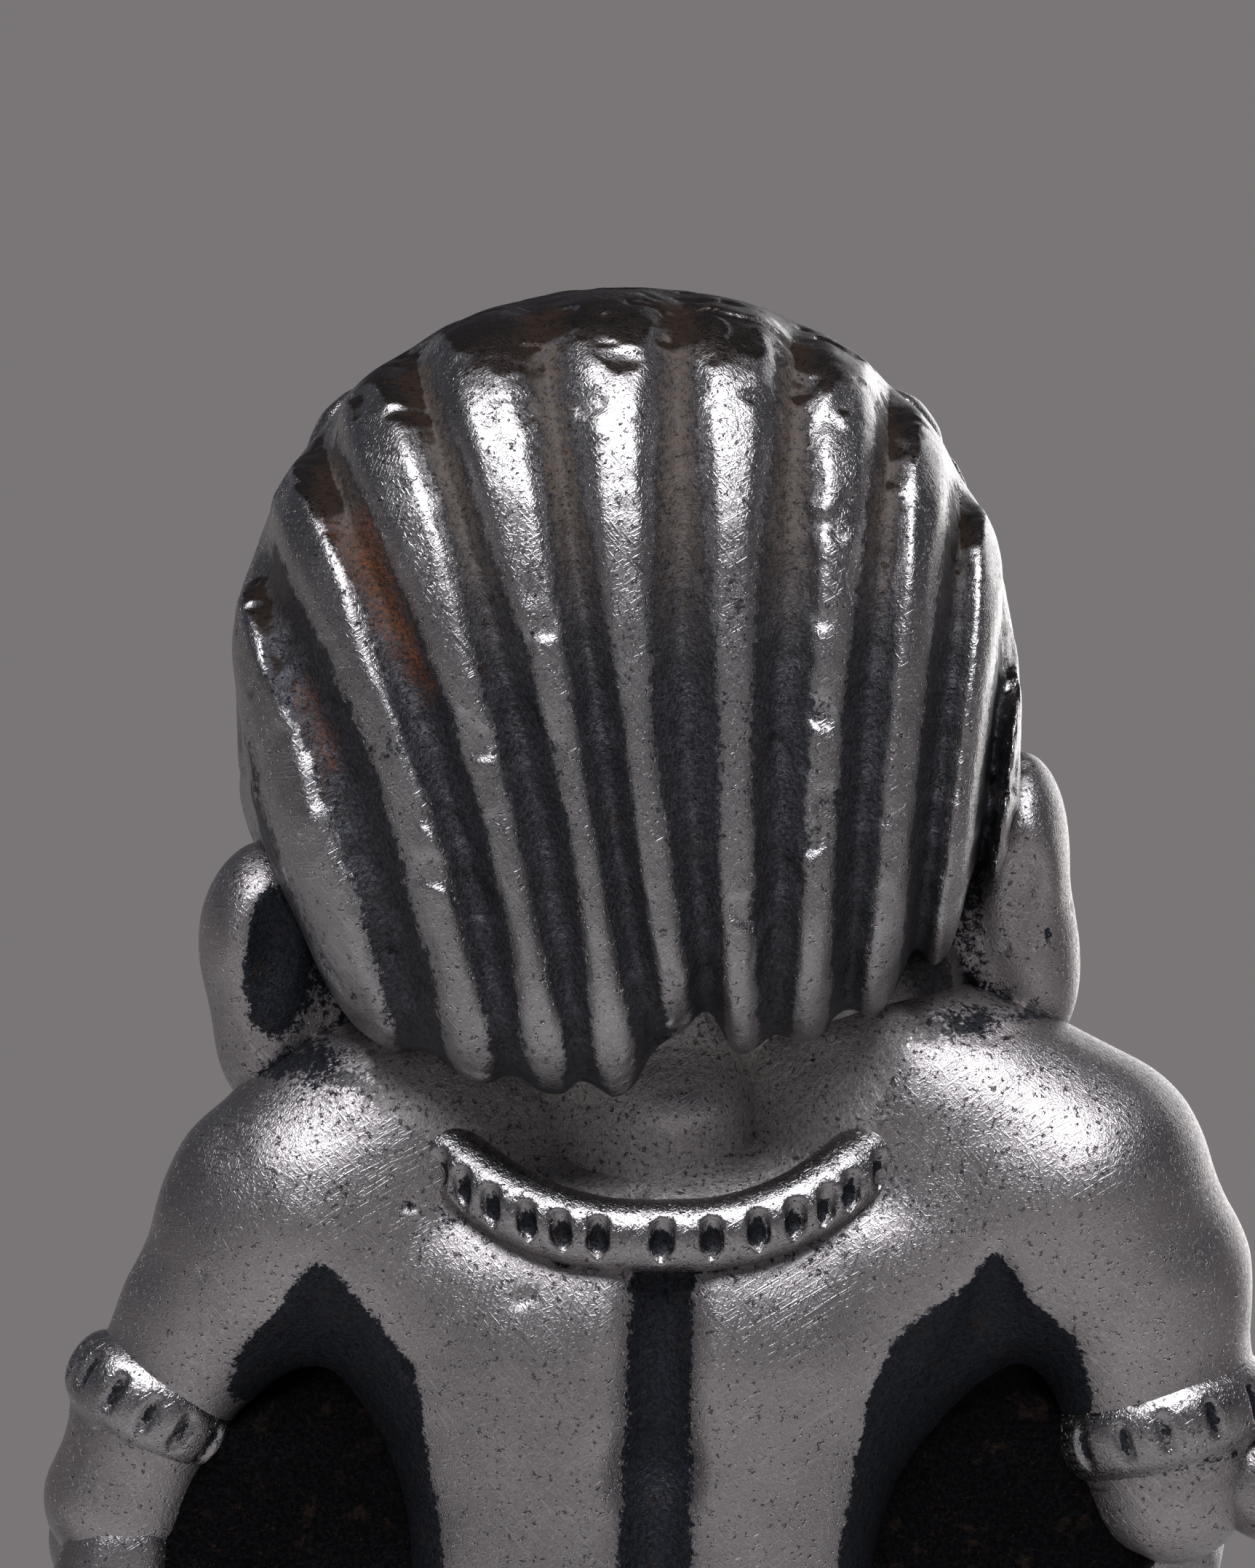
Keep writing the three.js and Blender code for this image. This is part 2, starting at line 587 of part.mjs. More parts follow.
// A flame of three tongues in a small bowl.
place('flame', IRON, () => {
  const tongue = (x, tall, lean) => {
    const flame = new THREE.LatheGeometry(
      [[0, 0], [0.85, 0.5], [1.05, 1.3], [0.75, 2.4], [0.35, 3.4], [0, 4.3]].map(
        ([r, z]) => new THREE.Vector2(r, (z * tall) / 4.3),
      ),
      10,
    );
    flame.rotateX(Math.PI / 2);
    flame.scale(0.9, 0.75, 1);
    return solid(
      shaped(flame, (p) => {
        p.x += lean * (p.z / tall) ** 2;
      }).translate(18.5 + x, -1.5, 46.5),
    );
  };
  const bowl = ovalLathe([[0, 45], [1, 45.2], [1.7, 46.1], [1.9, 46.9], [0, 46.9]], 1, 12, [18.5, -1.5]);
  return union([solid(bowl), tongue(0, 5, 0.3), tongue(-0.95, 3.4, -0.6), tongue(0.95, 3.4, 0.7)]);
});

export default figure;
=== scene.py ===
"""The looks of the small cast-iron dancing deity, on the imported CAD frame. Each casting is sculpted as a
distance field, in millimetres, then skinned with a dense mesh that carries attributes for its material: how
much each point stands proud, how sheltered it is by what is round it, and any marks painted on it."""

import math

import bpy
import numpy as np
import openvdb
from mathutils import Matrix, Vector


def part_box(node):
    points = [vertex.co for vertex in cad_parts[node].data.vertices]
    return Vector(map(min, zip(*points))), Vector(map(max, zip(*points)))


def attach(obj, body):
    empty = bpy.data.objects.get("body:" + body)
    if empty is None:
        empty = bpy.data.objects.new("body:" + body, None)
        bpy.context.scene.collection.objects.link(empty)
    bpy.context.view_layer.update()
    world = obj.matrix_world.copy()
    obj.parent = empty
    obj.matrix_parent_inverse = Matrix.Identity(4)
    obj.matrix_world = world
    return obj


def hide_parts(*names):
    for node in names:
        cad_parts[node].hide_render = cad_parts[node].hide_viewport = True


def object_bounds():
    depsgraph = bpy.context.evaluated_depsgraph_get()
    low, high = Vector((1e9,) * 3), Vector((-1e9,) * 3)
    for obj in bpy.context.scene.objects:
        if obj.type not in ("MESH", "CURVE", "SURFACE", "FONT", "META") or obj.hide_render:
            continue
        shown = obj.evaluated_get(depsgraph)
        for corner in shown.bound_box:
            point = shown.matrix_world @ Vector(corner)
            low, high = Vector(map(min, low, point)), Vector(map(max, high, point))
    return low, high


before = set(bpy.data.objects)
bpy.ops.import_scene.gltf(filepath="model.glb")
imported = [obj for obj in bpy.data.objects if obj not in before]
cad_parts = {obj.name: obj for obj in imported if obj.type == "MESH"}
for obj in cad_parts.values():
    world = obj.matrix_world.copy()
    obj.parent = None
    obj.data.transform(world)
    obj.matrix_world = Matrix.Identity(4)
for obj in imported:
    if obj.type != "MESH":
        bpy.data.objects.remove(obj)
cad_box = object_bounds()

BAND = 2.2  # a distance field holds distances up to this many millimetres
MM = 0.001


def box_mm(node):
    """Lowest and highest corner of a CAD node, in millimetres."""
    low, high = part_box(node)
    return np.array(low) / MM, np.array(high) / MM


# ---- Clay --------------------------------------------------------------------------------------------


def smoothstep(low, high, value):
    t = np.clip((value - low) / (high - low), 0, 1)
    return t * t * (3 - 2 * t)


def ball(centre, radii):
    """An ellipsoid."""
    c, r = np.array(centre, float), np.array(radii, float)

    def shape(x, y, z):
        u, v, w = (x - c[0]) / r[0], (y - c[1]) / r[1], (z - c[2]) / r[2]
        reach = np.sqrt(u * u + v * v + w * w) + 1e-6
        slope = np.sqrt((u / r[0]) ** 2 + (v / r[1]) ** 2 + (w / r[2]) ** 2) + 1e-6
        return reach * (reach - 1) / slope

    return shape, c - r, c + r


def rod(a, b, ra, rb=None, flat=1.0, face=(0, 1, 0)):
    """A tapered round-ended bar. flat under 1 presses it thinner along face."""
    rb = ra if rb is None else rb
    a, b, n = np.array(a, float), np.array(b, float), np.array(face, float)
    n /= np.linalg.norm(n)
    axis = b - a
    length2 = float(axis @ axis)

    def shape(x, y, z):
        dx, dy, dz = x - a[0], y - a[1], z - a[2]
        t = np.clip((dx * axis[0] + dy * axis[1] + dz * axis[2]) / length2, 0, 1)
        dx, dy, dz = dx - t * axis[0], dy - t * axis[1], dz - t * axis[2]
        if flat != 1:
            press = (1 / flat - 1) * (dx * n[0] + dy * n[1] + dz * n[2])
            dx, dy, dz = dx + press * n[0], dy + press * n[1], dz + press * n[2]
        return (np.sqrt(dx * dx + dy * dy + dz * dz) - (ra + t * (rb - ra))) * (0.5 + 0.5 * flat)

    r = max(ra, rb)
    return shape, np.minimum(a, b) - r, np.maximum(a, b) + r


def path(points, radii, flat=1.0, face=(0, 1, 0)):
    """Bars end to end through points."""
    return [
        rod(p, q, radii[i], radii[i + 1], flat, face)
        for i, (p, q) in enumerate(zip(points[:-1], points[1:]))
    ]


def ring(centre, axis, radius, wire, flat=1.0):
    """A ring of wire about an axis. flat over 1 stretches the wire along the axis, into a band."""
    c, n = np.array(centre, float), np.array(axis, float)
    n /= np.linalg.norm(n)

    def shape(x, y, z):
        dx, dy, dz = x - c[0], y - c[1], z - c[2]
        h = dx * n[0] + dy * n[1] + dz * n[2]
        out = np.sqrt(np.maximum(dx * dx + dy * dy + dz * dz - h * h, 0)) - radius
        return np.sqrt(out * out + (h / flat) ** 2) - wire

    reach = radius + wire * max(flat, 1)
    return shape, c - reach, c + reach


def blur(a, half):
    """Three passes of a box filter 2 * half + 1 samples wide, along each axis."""
    width = 2 * half + 1
    for axis in range(3):
        for _ in range(3):
            pad = [(0, 0)] * 3
            pad[axis] = (half + 1, half)
            total = np.cumsum(np.pad(a, pad, mode="edge"), axis=axis, dtype=np.float32)
            n = a.shape[axis]
            upper = np.take(total, np.arange(width, width + n), axis=axis)
            a = (upper - np.take(total, np.arange(n), axis=axis)) / width
    return a


class Clay:
    """A distance field on a regular grid, in millimetres, negative inside."""

    def __init__(self, low, high, step):
        self.low, self.step = np.array(low, float), step
        count = np.ceil((np.array(high) - self.low) / step).astype(int) + 1
        x, y, z = (np.arange(count[i], dtype=np.float32) * step + np.float32(low[i]) for i in range(3))
        self.axes = [x, y, z]
        self.x, self.y, self.z = x[:, None, None], y[None, :, None], z[None, None, :]
        self.d = np.full(count, BAND, np.float32)

    def part(self, low, high, margin):
        """The slices and the coordinates of a box of the grid."""
        cuts = []
        for i in range(3):
            first = int(math.floor((low[i] - margin - self.low[i]) / self.step))
            last = int(math.ceil((high[i] + margin - self.low[i]) / self.step)) + 1
            n = len(self.axes[i])
            cuts.append(slice(min(max(first, 0), n), min(max(last, 0), n)))
        return tuple(cuts), self.x[cuts[0]], self.y[:, cuts[1]], self.z[:, :, cuts[2]]

    def add(self, shapes, blend=0.0):
        for shape, low, high in shapes if isinstance(shapes, list) else [shapes]:
            cut, x, y, z = self.part(low, high, BAND)
            if 0 in self.d[cut].shape:
                continue
            a, b = self.d[cut], np.clip(shape(x, y, z), -BAND, BAND)
            merged = np.minimum(a, b)
            if blend:
                h = np.maximum(blend - np.abs(a - b), 0) / blend
                merged = merged - h * h * blend / 4
            self.d[cut] = merged
        return self

    def carve(self, shapes, blend=0.0):
        for shape, low, high in shapes if isinstance(shapes, list) else [shapes]:
            cut, x, y, z = self.part(low, high, BAND)
            if 0 in self.d[cut].shape:
                continue
            a, b = self.d[cut], -np.clip(shape(x, y, z), -BAND, BAND)
            merged = np.maximum(a, b)
            if blend:
                h = np.maximum(blend - np.abs(a - b), 0) / blend
                merged = merged + h * h * blend / 4
            self.d[cut] = merged
        return self

    def noise(self, size, seed):
        """Smooth noise from -1 to 1 with features of that size."""
        spans = []
        for values in self.axes:
            t = (values - values[0]) / size
            cell = np.floor(t).astype(int)
            f = t - cell
            weights = np.zeros((len(values), cell.max() + 4), np.float32)
            spline = ((1 - f) ** 3, 3 * f**3 - 6 * f**2 + 4, -3 * f**3 + 3 * f**2 + 3 * f + 1, f**3)
            for k, weight in enumerate(spline):
                weights[np.arange(len(values)), cell + k] = weight / 6
            spans.append(weights)
        lattice = np.random.default_rng(seed).uniform(-2, 2, [w.shape[1] for w in spans]).astype(np.float32)
        for weights in spans:
            lattice = np.tensordot(lattice, weights, axes=(0, 1))
        return lattice

    def weather(self, seed, dents=0.05):
        """Hand-finished unevenness, and a few casting pits."""
        self.d += dents * self.noise(1.7, seed) + 0.4 * dents * self.noise(0.6, seed + 1)
        pits = smoothstep(0.7, 0.95, self.noise(0.34, seed + 2))
        self.d += 0.1 * pits * smoothstep(0.1, 0.6, self.noise(2.5, seed))
        return self

    def sample(self, points, field):
        """A field's values at points, by linear interpolation."""
        t = (points - self.low) / self.step
        i = np.clip(np.floor(t).astype(int), 0, np.array(field.shape) - 2)
        f = np.clip(t - i, 0, 1)
        value = np.zeros(len(points))
        for corner in range(8):
            o = np.array([corner & 1, corner >> 1 & 1, corner >> 2 & 1])
            weight = np.prod(np.where(o, f, 1 - f), axis=1)
            value += weight * field[tuple((i + o).T)]
        return value


def cast_of(node, step=0.1, soften=1, margin=0.8):
    """Clay in the shape of a CAD node, with its facets softened."""
    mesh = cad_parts[node].data
    points = np.empty(len(mesh.vertices) * 3, np.float32)
    mesh.vertices.foreach_get("co", points)
    points = points.reshape(-1, 3) / MM
    mesh.calc_loop_triangles()
    faces = np.empty(len(mesh.loop_triangles) * 3, np.int32)
    mesh.loop_triangles.foreach_get("vertices", faces)
    clay = Clay(points.min(0) - margin, points.max(0) + margin, step)
    grid = openvdb.FloatGrid.createLevelSetFromPolygons(
        (points - clay.low).astype(np.float32),
        triangles=faces.reshape(-1, 3),
        transform=openvdb.createLinearTransform(voxelSize=step),
        halfWidth=margin / step,
    )
    grid.copyToArray(clay.d)
    clay.d = blur(clay.d, soften) - 0.03
    return clay


# ---- Skinning ----------------------------------------------------------------------------------------

ROOM_STEP = 0.4
room = Clay(np.array(cad_box[0]) / MM - 4, np.array(cad_box[1]) / MM + 4, ROOM_STEP)
filled = np.zeros(room.d.shape, np.float32)  # how much of each cell of the room is metal
skinned = []


def painted(points, marks):
    """How strongly each point is marked. Each mark is a shape, an amount and the width of its soft edge."""
    value = np.zeros(len(points))
    for (shape, _, _), amount, edge in marks:
        value += amount * smoothstep(edge, -edge, shape(*points.T))
    return np.clip(value, -1, 1).astype(np.float32)


def skin(clay, name, slot, look, body="figure", **marks):
    """Turns clay into a mesh piece that stands for the CAD node of that name, with marks as attributes."""
    d = clay.d
    for axis in range(3):
        for end in (0, -1):
            index = [slice(None)] * 3
            index[axis] = end
            d[tuple(index)] = BAND
    grid = openvdb.FloatGrid(BAND)
    grid.copyFromArray(d)
    grid.transform = openvdb.createLinearTransform(voxelSize=clay.step)
    points, quads = grid.convertToQuads(isovalue=0)
    points = points.astype(np.float64) + clay.low
    mesh = bpy.data.meshes.new(name)
    mesh.vertices.add(len(points))
    mesh.vertices.foreach_set("co", (points * MM).astype(np.float32).ravel())
    a, b, c = points[quads[:, 0]], points[quads[:, 1]], points[quads[:, 2]]
    if np.einsum("ij,ij->i", a, np.cross(b - a, c - a)).sum() < 0:
        quads = quads[:, ::-1]
    mesh.loops.add(quads.size)
    mesh.loops.foreach_set("vertex_index", quads.astype(np.int32).ravel())
    mesh.polygons.add(len(quads))
    mesh.polygons.foreach_set("loop_start", np.arange(0, quads.size, 4, dtype=np.int32))
    mesh.update(calc_edges=True)
    mesh.validate()
    mesh.shade_smooth()
    half = max(1, int(round(0.3 / clay.step)))
    spread = ((2 * half + 1) ** 2 - 1) / 4 * clay.step**2
    proud = 2 * (blur(d, half) - d) / spread
    wear = mesh.attributes.new("wear", "FLOAT", "POINT")
    wear.data.foreach_set("value", clay.sample(points, proud).astype(np.float32))
    for key, value in marks.items():
        mesh.attributes.new(key, "FLOAT", "POINT").data.foreach_set("value", painted(points, value))
    piece = bpy.data.objects.new(name, mesh)
    bpy.context.scene.collection.objects.link(piece)
    piece.data.materials.append(look)
    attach(piece, body)
    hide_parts(name)
    cut, x, y, z = room.part(clay.low, [axis[-1] for axis in clay.axes], 0)
    spots = np.stack(np.broadcast_arrays(x, y, z), -1).reshape(-1, 3)
    solid = np.clip(0.5 - clay.sample(spots, d) / ROOM_STEP, 0, 1).reshape(filled[cut].shape)
    filled[cut] = np.maximum(filled[cut], solid)
    skinned.append((piece, points))
    return piece


def shelter():
    """Gives each skinned piece the share of the space around every point that is metal, which the materials
    darken as painted shade.
    """
    near, far = blur(filled, 1), blur(filled, 3)
    for piece, points in skinned:
        value = 0.5 * room.sample(points, near) + 0.5 * room.sample(points, far)
        attribute = piece.data.attributes.new("shelter", "FLOAT", "POINT")
        attribute.data.foreach_set("value", value.astype(np.float32))


# ---- Materials ---------------------------------------------------------------------------------------


class Look:
    """A node-based material, built a node at a time."""

    def __init__(self, name):
        self.material = bpy.data.materials.new(name)
        self.material.use_nodes = True
        self.tree = self.material.node_tree
        self.shader = self.tree.nodes["Principled BSDF"]
        self.coord = self.node("ShaderNodeTexCoord").outputs["Object"]

    def node(self, kind, inputs=None, **settings):
        made = self.tree.nodes.new(kind)
        for key, value in settings.items():
            setattr(made, key, value)
        for key, value in (inputs or {}).items():
            self.feed(made.inputs[key], value)
        return made

    def feed(self, socket, value):
        if isinstance(value, bpy.types.NodeSocket):
            self.tree.links.new(value, socket)
        else:
            socket.default_value = value

    def math(self, operation, a, b=0.0, c=0.0):
        return self.node("ShaderNodeMath", {0: a, 1: b, 2: c}, operation=operation).outputs[0]

    def vary(self, base, noise, amount):
        """base, raised or lowered by a noise that runs from 0 to 1."""
        return self.math("MULTIPLY_ADD", self.math("SUBTRACT", noise, 0.5), amount, base)

    def noise(self, size, detail=4.0, roughness=0.6, stretch=None, turn=(0, 0, 0)):
        """Noise with features of that size in millimetres, stretched along a turned x axis if asked."""
        vector = self.coord
        if stretch:
            inputs = {"Vector": vector, "Scale": (stretch, 1, 1), "Rotation": turn}
            vector = self.node("ShaderNodeMapping", inputs, vector_type="TEXTURE").outputs[0]
        inputs = {"Vector": vector, "Scale": 1 / (size * MM), "Detail": detail, "Roughness": roughness}
        return self.node("ShaderNodeTexNoise", inputs).outputs[0]

    def ramp(self, value, low, high, to_low=0.0, to_high=1.0, smooth=True):
        inputs = {"Value": value, "From Min": low, "From Max": high, "To Min": to_low, "To Max": to_high}
        kind = "SMOOTHSTEP" if smooth else "LINEAR"
        return self.node("ShaderNodeMapRange", inputs, interpolation_type=kind).outputs[0]

    def mix(self, factor, a, b):
        made = self.node("ShaderNodeMix", data_type="RGBA")
        self.feed(made.inputs["Factor"], factor)
        for key, value in ((6, a), (7, b)):
            self.feed(made.inputs[key], value if isinstance(value, bpy.types.NodeSocket) else (*value, 1))
        return made.outputs[2]

    def attribute(self, name):
        return self.node("ShaderNodeAttribute", attribute_name=name).outputs["Fac"]

    def bump(self, height, distance, strength=1.0, normal=None):
        inputs = {"Height": height, "Distance": distance * MM, "Strength": strength}
        if normal:
            inputs["Normal"] = normal
        return self.node("ShaderNodeBump", inputs).outputs[0]

    def scratches(self):
        """Fine file marks in four directions, about 0 to 1."""
        lines = None
        strokes = (
            ((0, 0.5, 0.3), 0.05),
            ((0, -0.85, -0.2), 0.06),
            ((0, 1.25, 0.6), 0.04),
            ((0, 0.1, -0.9), 0.07),
        )
        for turn, size in strokes:
            line = self.ramp(self.noise(size, 1.0, 0.5, stretch=60, turn=turn), 0.5, 0.75)
            lines = line if lines is None else self.math("MAXIMUM", lines, line)
        return lines


def iron(
    name,
    bright,
    dark,
    threshold=0.0,
    polish=0.3,
    rust=False,
    dust=0.0,
    shade=3.0,
    filed=0.0,
    edge=0.45,
    gloss=0.25,
):
    """Worn iron: bright where it stands proud and is rubbed, with dark patina in its hollows and painted
    shade where it is sheltered.
    """
    look = Look(name)
    wear, sheltered = look.attribute("wear"), look.attribute("shelter")
    broad, speckle, grit = look.noise(2.6, 3.0), look.noise(0.5, 8.0, 0.75), look.noise(0.09, 3.0, 0.7)
    proud = look.math("MULTIPLY_ADD", wear, edge, threshold)
    # Points sheltered by the metal round them are pushed towards the patina colour: painted shade, like
    # ambient occlusion.
    open_air = look.math("MULTIPLY_ADD", look.math("SUBTRACT", 0.5, sheltered), shade, proud)
    rough_edge = look.vary(open_air, speckle, 1.2)
    rough_edge = look.vary(rough_edge, look.noise(0.17, 6.0, 0.85), 2.4)
    score = look.vary(rough_edge, broad, 0.7)
    # The stain marks darken towards patina: real patina in grooves and punches, painted shade and shadow
    # where the marks place it.
    score = look.math("MULTIPLY_ADD", look.attribute("stain"), -1.6, score)
    rubbed = look.ramp(score, -0.05, 0.06)
    scratch = look.scratches()
    specks = look.ramp(look.noise(0.13, 3.0, 0.65), 0.6, 0.67, 0.0, 0.75)
    holes = look.ramp(look.noise(0.45, 6.0, 0.7), 0.66, 0.7)
    pitted = look.math("MAXIMUM", specks, holes)
    metal = look.mix(look.ramp(broad, 0.3, 0.7), [c * 0.86 for c in bright], [c * 1.1 for c in bright])
    metal = look.mix(look.math("MULTIPLY", scratch, 0.5), metal, [c * 1.5 for c in bright])
    patina = look.mix(look.ramp(grit, 0.35, 0.7), dark, [c * 2.2 + 0.004 for c in dark])
    brown = look.math("MULTIPLY", look.ramp(look.noise(0.8, 6.0, 0.7), 0.56, 0.7), 0.45)
    patina = look.mix(brown, patina, (0.05, 0.03, 0.02))
    # Where marked, the patina is lifted towards pale grey: painted light in the shaded hollow under the hair.
    painted_light_mask = look.math("MULTIPLY", look.attribute("bloom"), look.ramp(grit, 0.3, 0.65, 0.6, 1.0))
    patina = look.mix(painted_light_mask, patina, (0.5, 0.465, 0.45))
    colour = look.mix(rubbed, patina, metal)
    colour = look.mix(look.math("MULTIPLY", pitted, 0.9), colour, (0.03, 0.016, 0.01))
    metallic = look.ramp(rubbed, 0, 1, 0.55, 1.0, False)
    rough = look.ramp(rubbed, 0, 1, 0.5, polish, False)
    rough = look.math("MULTIPLY_ADD", scratch, -0.12, rough)
    rough = look.vary(rough, grit, 0.18)
    if dust:
        height = look.node("ShaderNodeSeparateXYZ", {"Vector": look.coord}).outputs["Z"]
        upper = look.ramp(height, 0.0625, 0.0675)
        lying = look.math("MULTIPLY", look.ramp(look.noise(0.14, 6.0, 0.7), 0.25, 0.6), upper)
        lying = look.math("MULTIPLY", lying, look.ramp(score, 0.1, -0.6, 0.0, dust))
        colour = look.mix(lying, colour, (0.14, 0.105, 0.08))
        metallic = look.math("MULTIPLY", metallic, look.math("SUBTRACT", 1.0, lying))
        rough = look.math("MULTIPLY_ADD", lying, 0.35, rough)
    if filed:
        facing = look.node("ShaderNodeNewGeometry").outputs["Normal"]
        up = look.node("ShaderNodeSeparateXYZ", {"Vector": facing}).outputs["Z"]
        top = look.ramp(look.vary(up, speckle, 0.4), 0.64, 0.8, 0.0, filed)
        colour = look.mix(top, colour, (0.026, 0.017, 0.013))
        rough = look.math("MULTIPLY_ADD", top, 0.15, rough)
    if rust:
        patch = look.ramp(look.math("ADD", look.attribute("rust"), look.noise(0.3, 8.0, 0.8)), 0.75, 1.35)
        crumbs = look.ramp(look.noise(0.1, 4.0, 0.7), 0.35, 0.65)
        orange = look.mix(crumbs, (0.03, 0.013, 0.008), (0.2, 0.062, 0.02))
        colour = look.mix(patch, colour, orange)
        metallic = look.math("MULTIPLY", metallic, look.math("SUBTRACT", 1.0, patch))
        rough = look.math("MULTIPLY_ADD", patch, 0.4, rough)
    lumpy = look.ramp(rubbed, 0, 1, 2.4, 0.2, False)
    lumps = look.math("MULTIPLY_ADD", look.noise(0.22, 4.0, 0.7), lumpy, look.math("MULTIPLY", speckle, 0.5))
    fine = look.bump(look.math("MULTIPLY_ADD", scratch, 0.25, lumps), 0.03, 0.8)
    step = look.bump(rubbed, 0.02, 0.6, fine)
    normal = look.bump(look.math("MULTIPLY", pitted, -1.0), 0.12, 0.8, step)
    shine = look.ramp(rubbed, 0, 1, gloss, 0.5, False)
    if filed:
        shine = look.math("MULTIPLY", shine, look.math("SUBTRACT", 1.0, top))
    look.feed(look.shader.inputs["Specular IOR Level"], shine)
    finish = {"Base Color": colour, "Metallic": metallic, "Roughness": rough, "Normal": normal}
    for key, value in finish.items():
        look.feed(look.shader.inputs[key], value)
    return look.material


def plain_metal(name, colour, tarnish, polish):
    """Metal for the small pieces that keep their CAD shape: scratched, with blotches of tarnish."""
    look = Look(name)
    blotch, grit, scratch = look.noise(1.8, 6.0, 0.7), look.noise(0.12, 3.0), look.scratches()
    spread = look.ramp(blotch, 0.42, 0.6)
    tone = look.mix(look.ramp(scratch, 0.42, 0.6, 0, 0.4), colour, [c * 1.4 for c in colour])
    tone = look.mix(look.math("MULTIPLY", spread, 0.85), tone, tarnish)
    rough = look.vary(look.ramp(spread, 0, 1, polish, polish + 0.25), grit, 0.3)
    normal = look.bump(look.math("MULTIPLY_ADD", scratch, 0.5, grit), 0.02, 0.6)
    look.shader.inputs["Metallic"].default_value = 1.0
    for key, value in (("Base Color", tone), ("Roughness", rough), ("Normal", normal)):
        look.feed(look.shader.inputs[key], value)
    return look.material


BRIGHT, DARK = (0.38, 0.36, 0.36), (0.013, 0.0145, 0.019)
SOFT = (0.34, 0.318, 0.318)  # bare metal that is a little duller than BRIGHT
body_iron = iron("body_iron", (0.39, 0.362, 0.36), DARK, threshold=0.42, polish=0.42, shade=2.0, edge=0.3)
head_iron = iron("head_iron", SOFT, (0.035, 0.034, 0.037), threshold=0.42, polish=0.4, shade=1.6)
hair_iron = iron(
    "hair_iron",
    BRIGHT,
    (0.034, 0.034, 0.039),
    threshold=0.3,
    polish=0.34,
    rust=True,
    dust=0.7,
    shade=1.2,
    filed=0.94,
    edge=0.12,
)
# Near black all over: painted shade for the deep webs between the arms and the body.
web_shade_iron = iron("web_shade_iron", (0.1, 0.095, 0.095), (0.0015, 0.0015, 0.002), threshold=-2.5, gloss=0.06)
limb_iron = iron("limb_iron", SOFT, DARK, threshold=0.26, polish=0.4, shade=2.8)
jewel_iron = iron("jewel_iron", BRIGHT, DARK, threshold=0.2, shade=2.0)
base_iron = iron("base_iron", (0.33, 0.315, 0.31), (0.014, 0.013, 0.014), threshold=0.2)

# ---- Head --------------------------------------------------------------------------------------------

hair_low, hair_high = box_mm("hair")
HX = (hair_low[0] + hair_high[0]) / 2  # the head's middle
HW = (hair_high[0] - hair_low[0]) / 2
TOP = hair_high[2]
HZ = TOP - HW  # where the head is widest
NAPE = hair_low[2]
BACK = hair_high[1]

# Each lock of hair by its place across the back of the head, at the nape, half way and near the crown.
LOCKS = [
    (6.1, 8.0, 10.6),
    (4.0, 5.5, 8.3),
    (2.4, 3.65, 5.6),
    (1.0, 1.85, 3.25),
    (-0.6, 0.4, 0.85),
    (-1.7, -1.6, -1.6),
    (-3.2, -3.45, -3.9),
    (-4.65, -5.1, -5.7),
    (-5.95, -6.6, -7.4),
    (-7.0, -7.7, -8.8),
]


def flutes(x, z):
    """How far across the nearest lock a point is: 0 on its crest, 1 half way to the next."""
    t = (z - NAPE - 6.9) / 6
    crests = [mid + (top - nape) / 2 * t + (top + nape - 2 * mid) / 2 * t * t for nape, mid, top in LOCKS]
    best = np.full(np.broadcast_shapes(np.shape(x), np.shape(z)), 1.2, np.float32)
    for i, crest in enumerate(crests):
        left = (crests[i - 1] - crest) / 2 if i else 1.6
        right = (crest - crests[i + 1]) / 2 if i < len(crests) - 1 else 1.6
        off = x - crest
        across = np.where(off > 0, off / np.maximum(left, 0.3), -off / np.maximum(right, 0.3))
        best = np.minimum(best, np.abs(across))
    return best


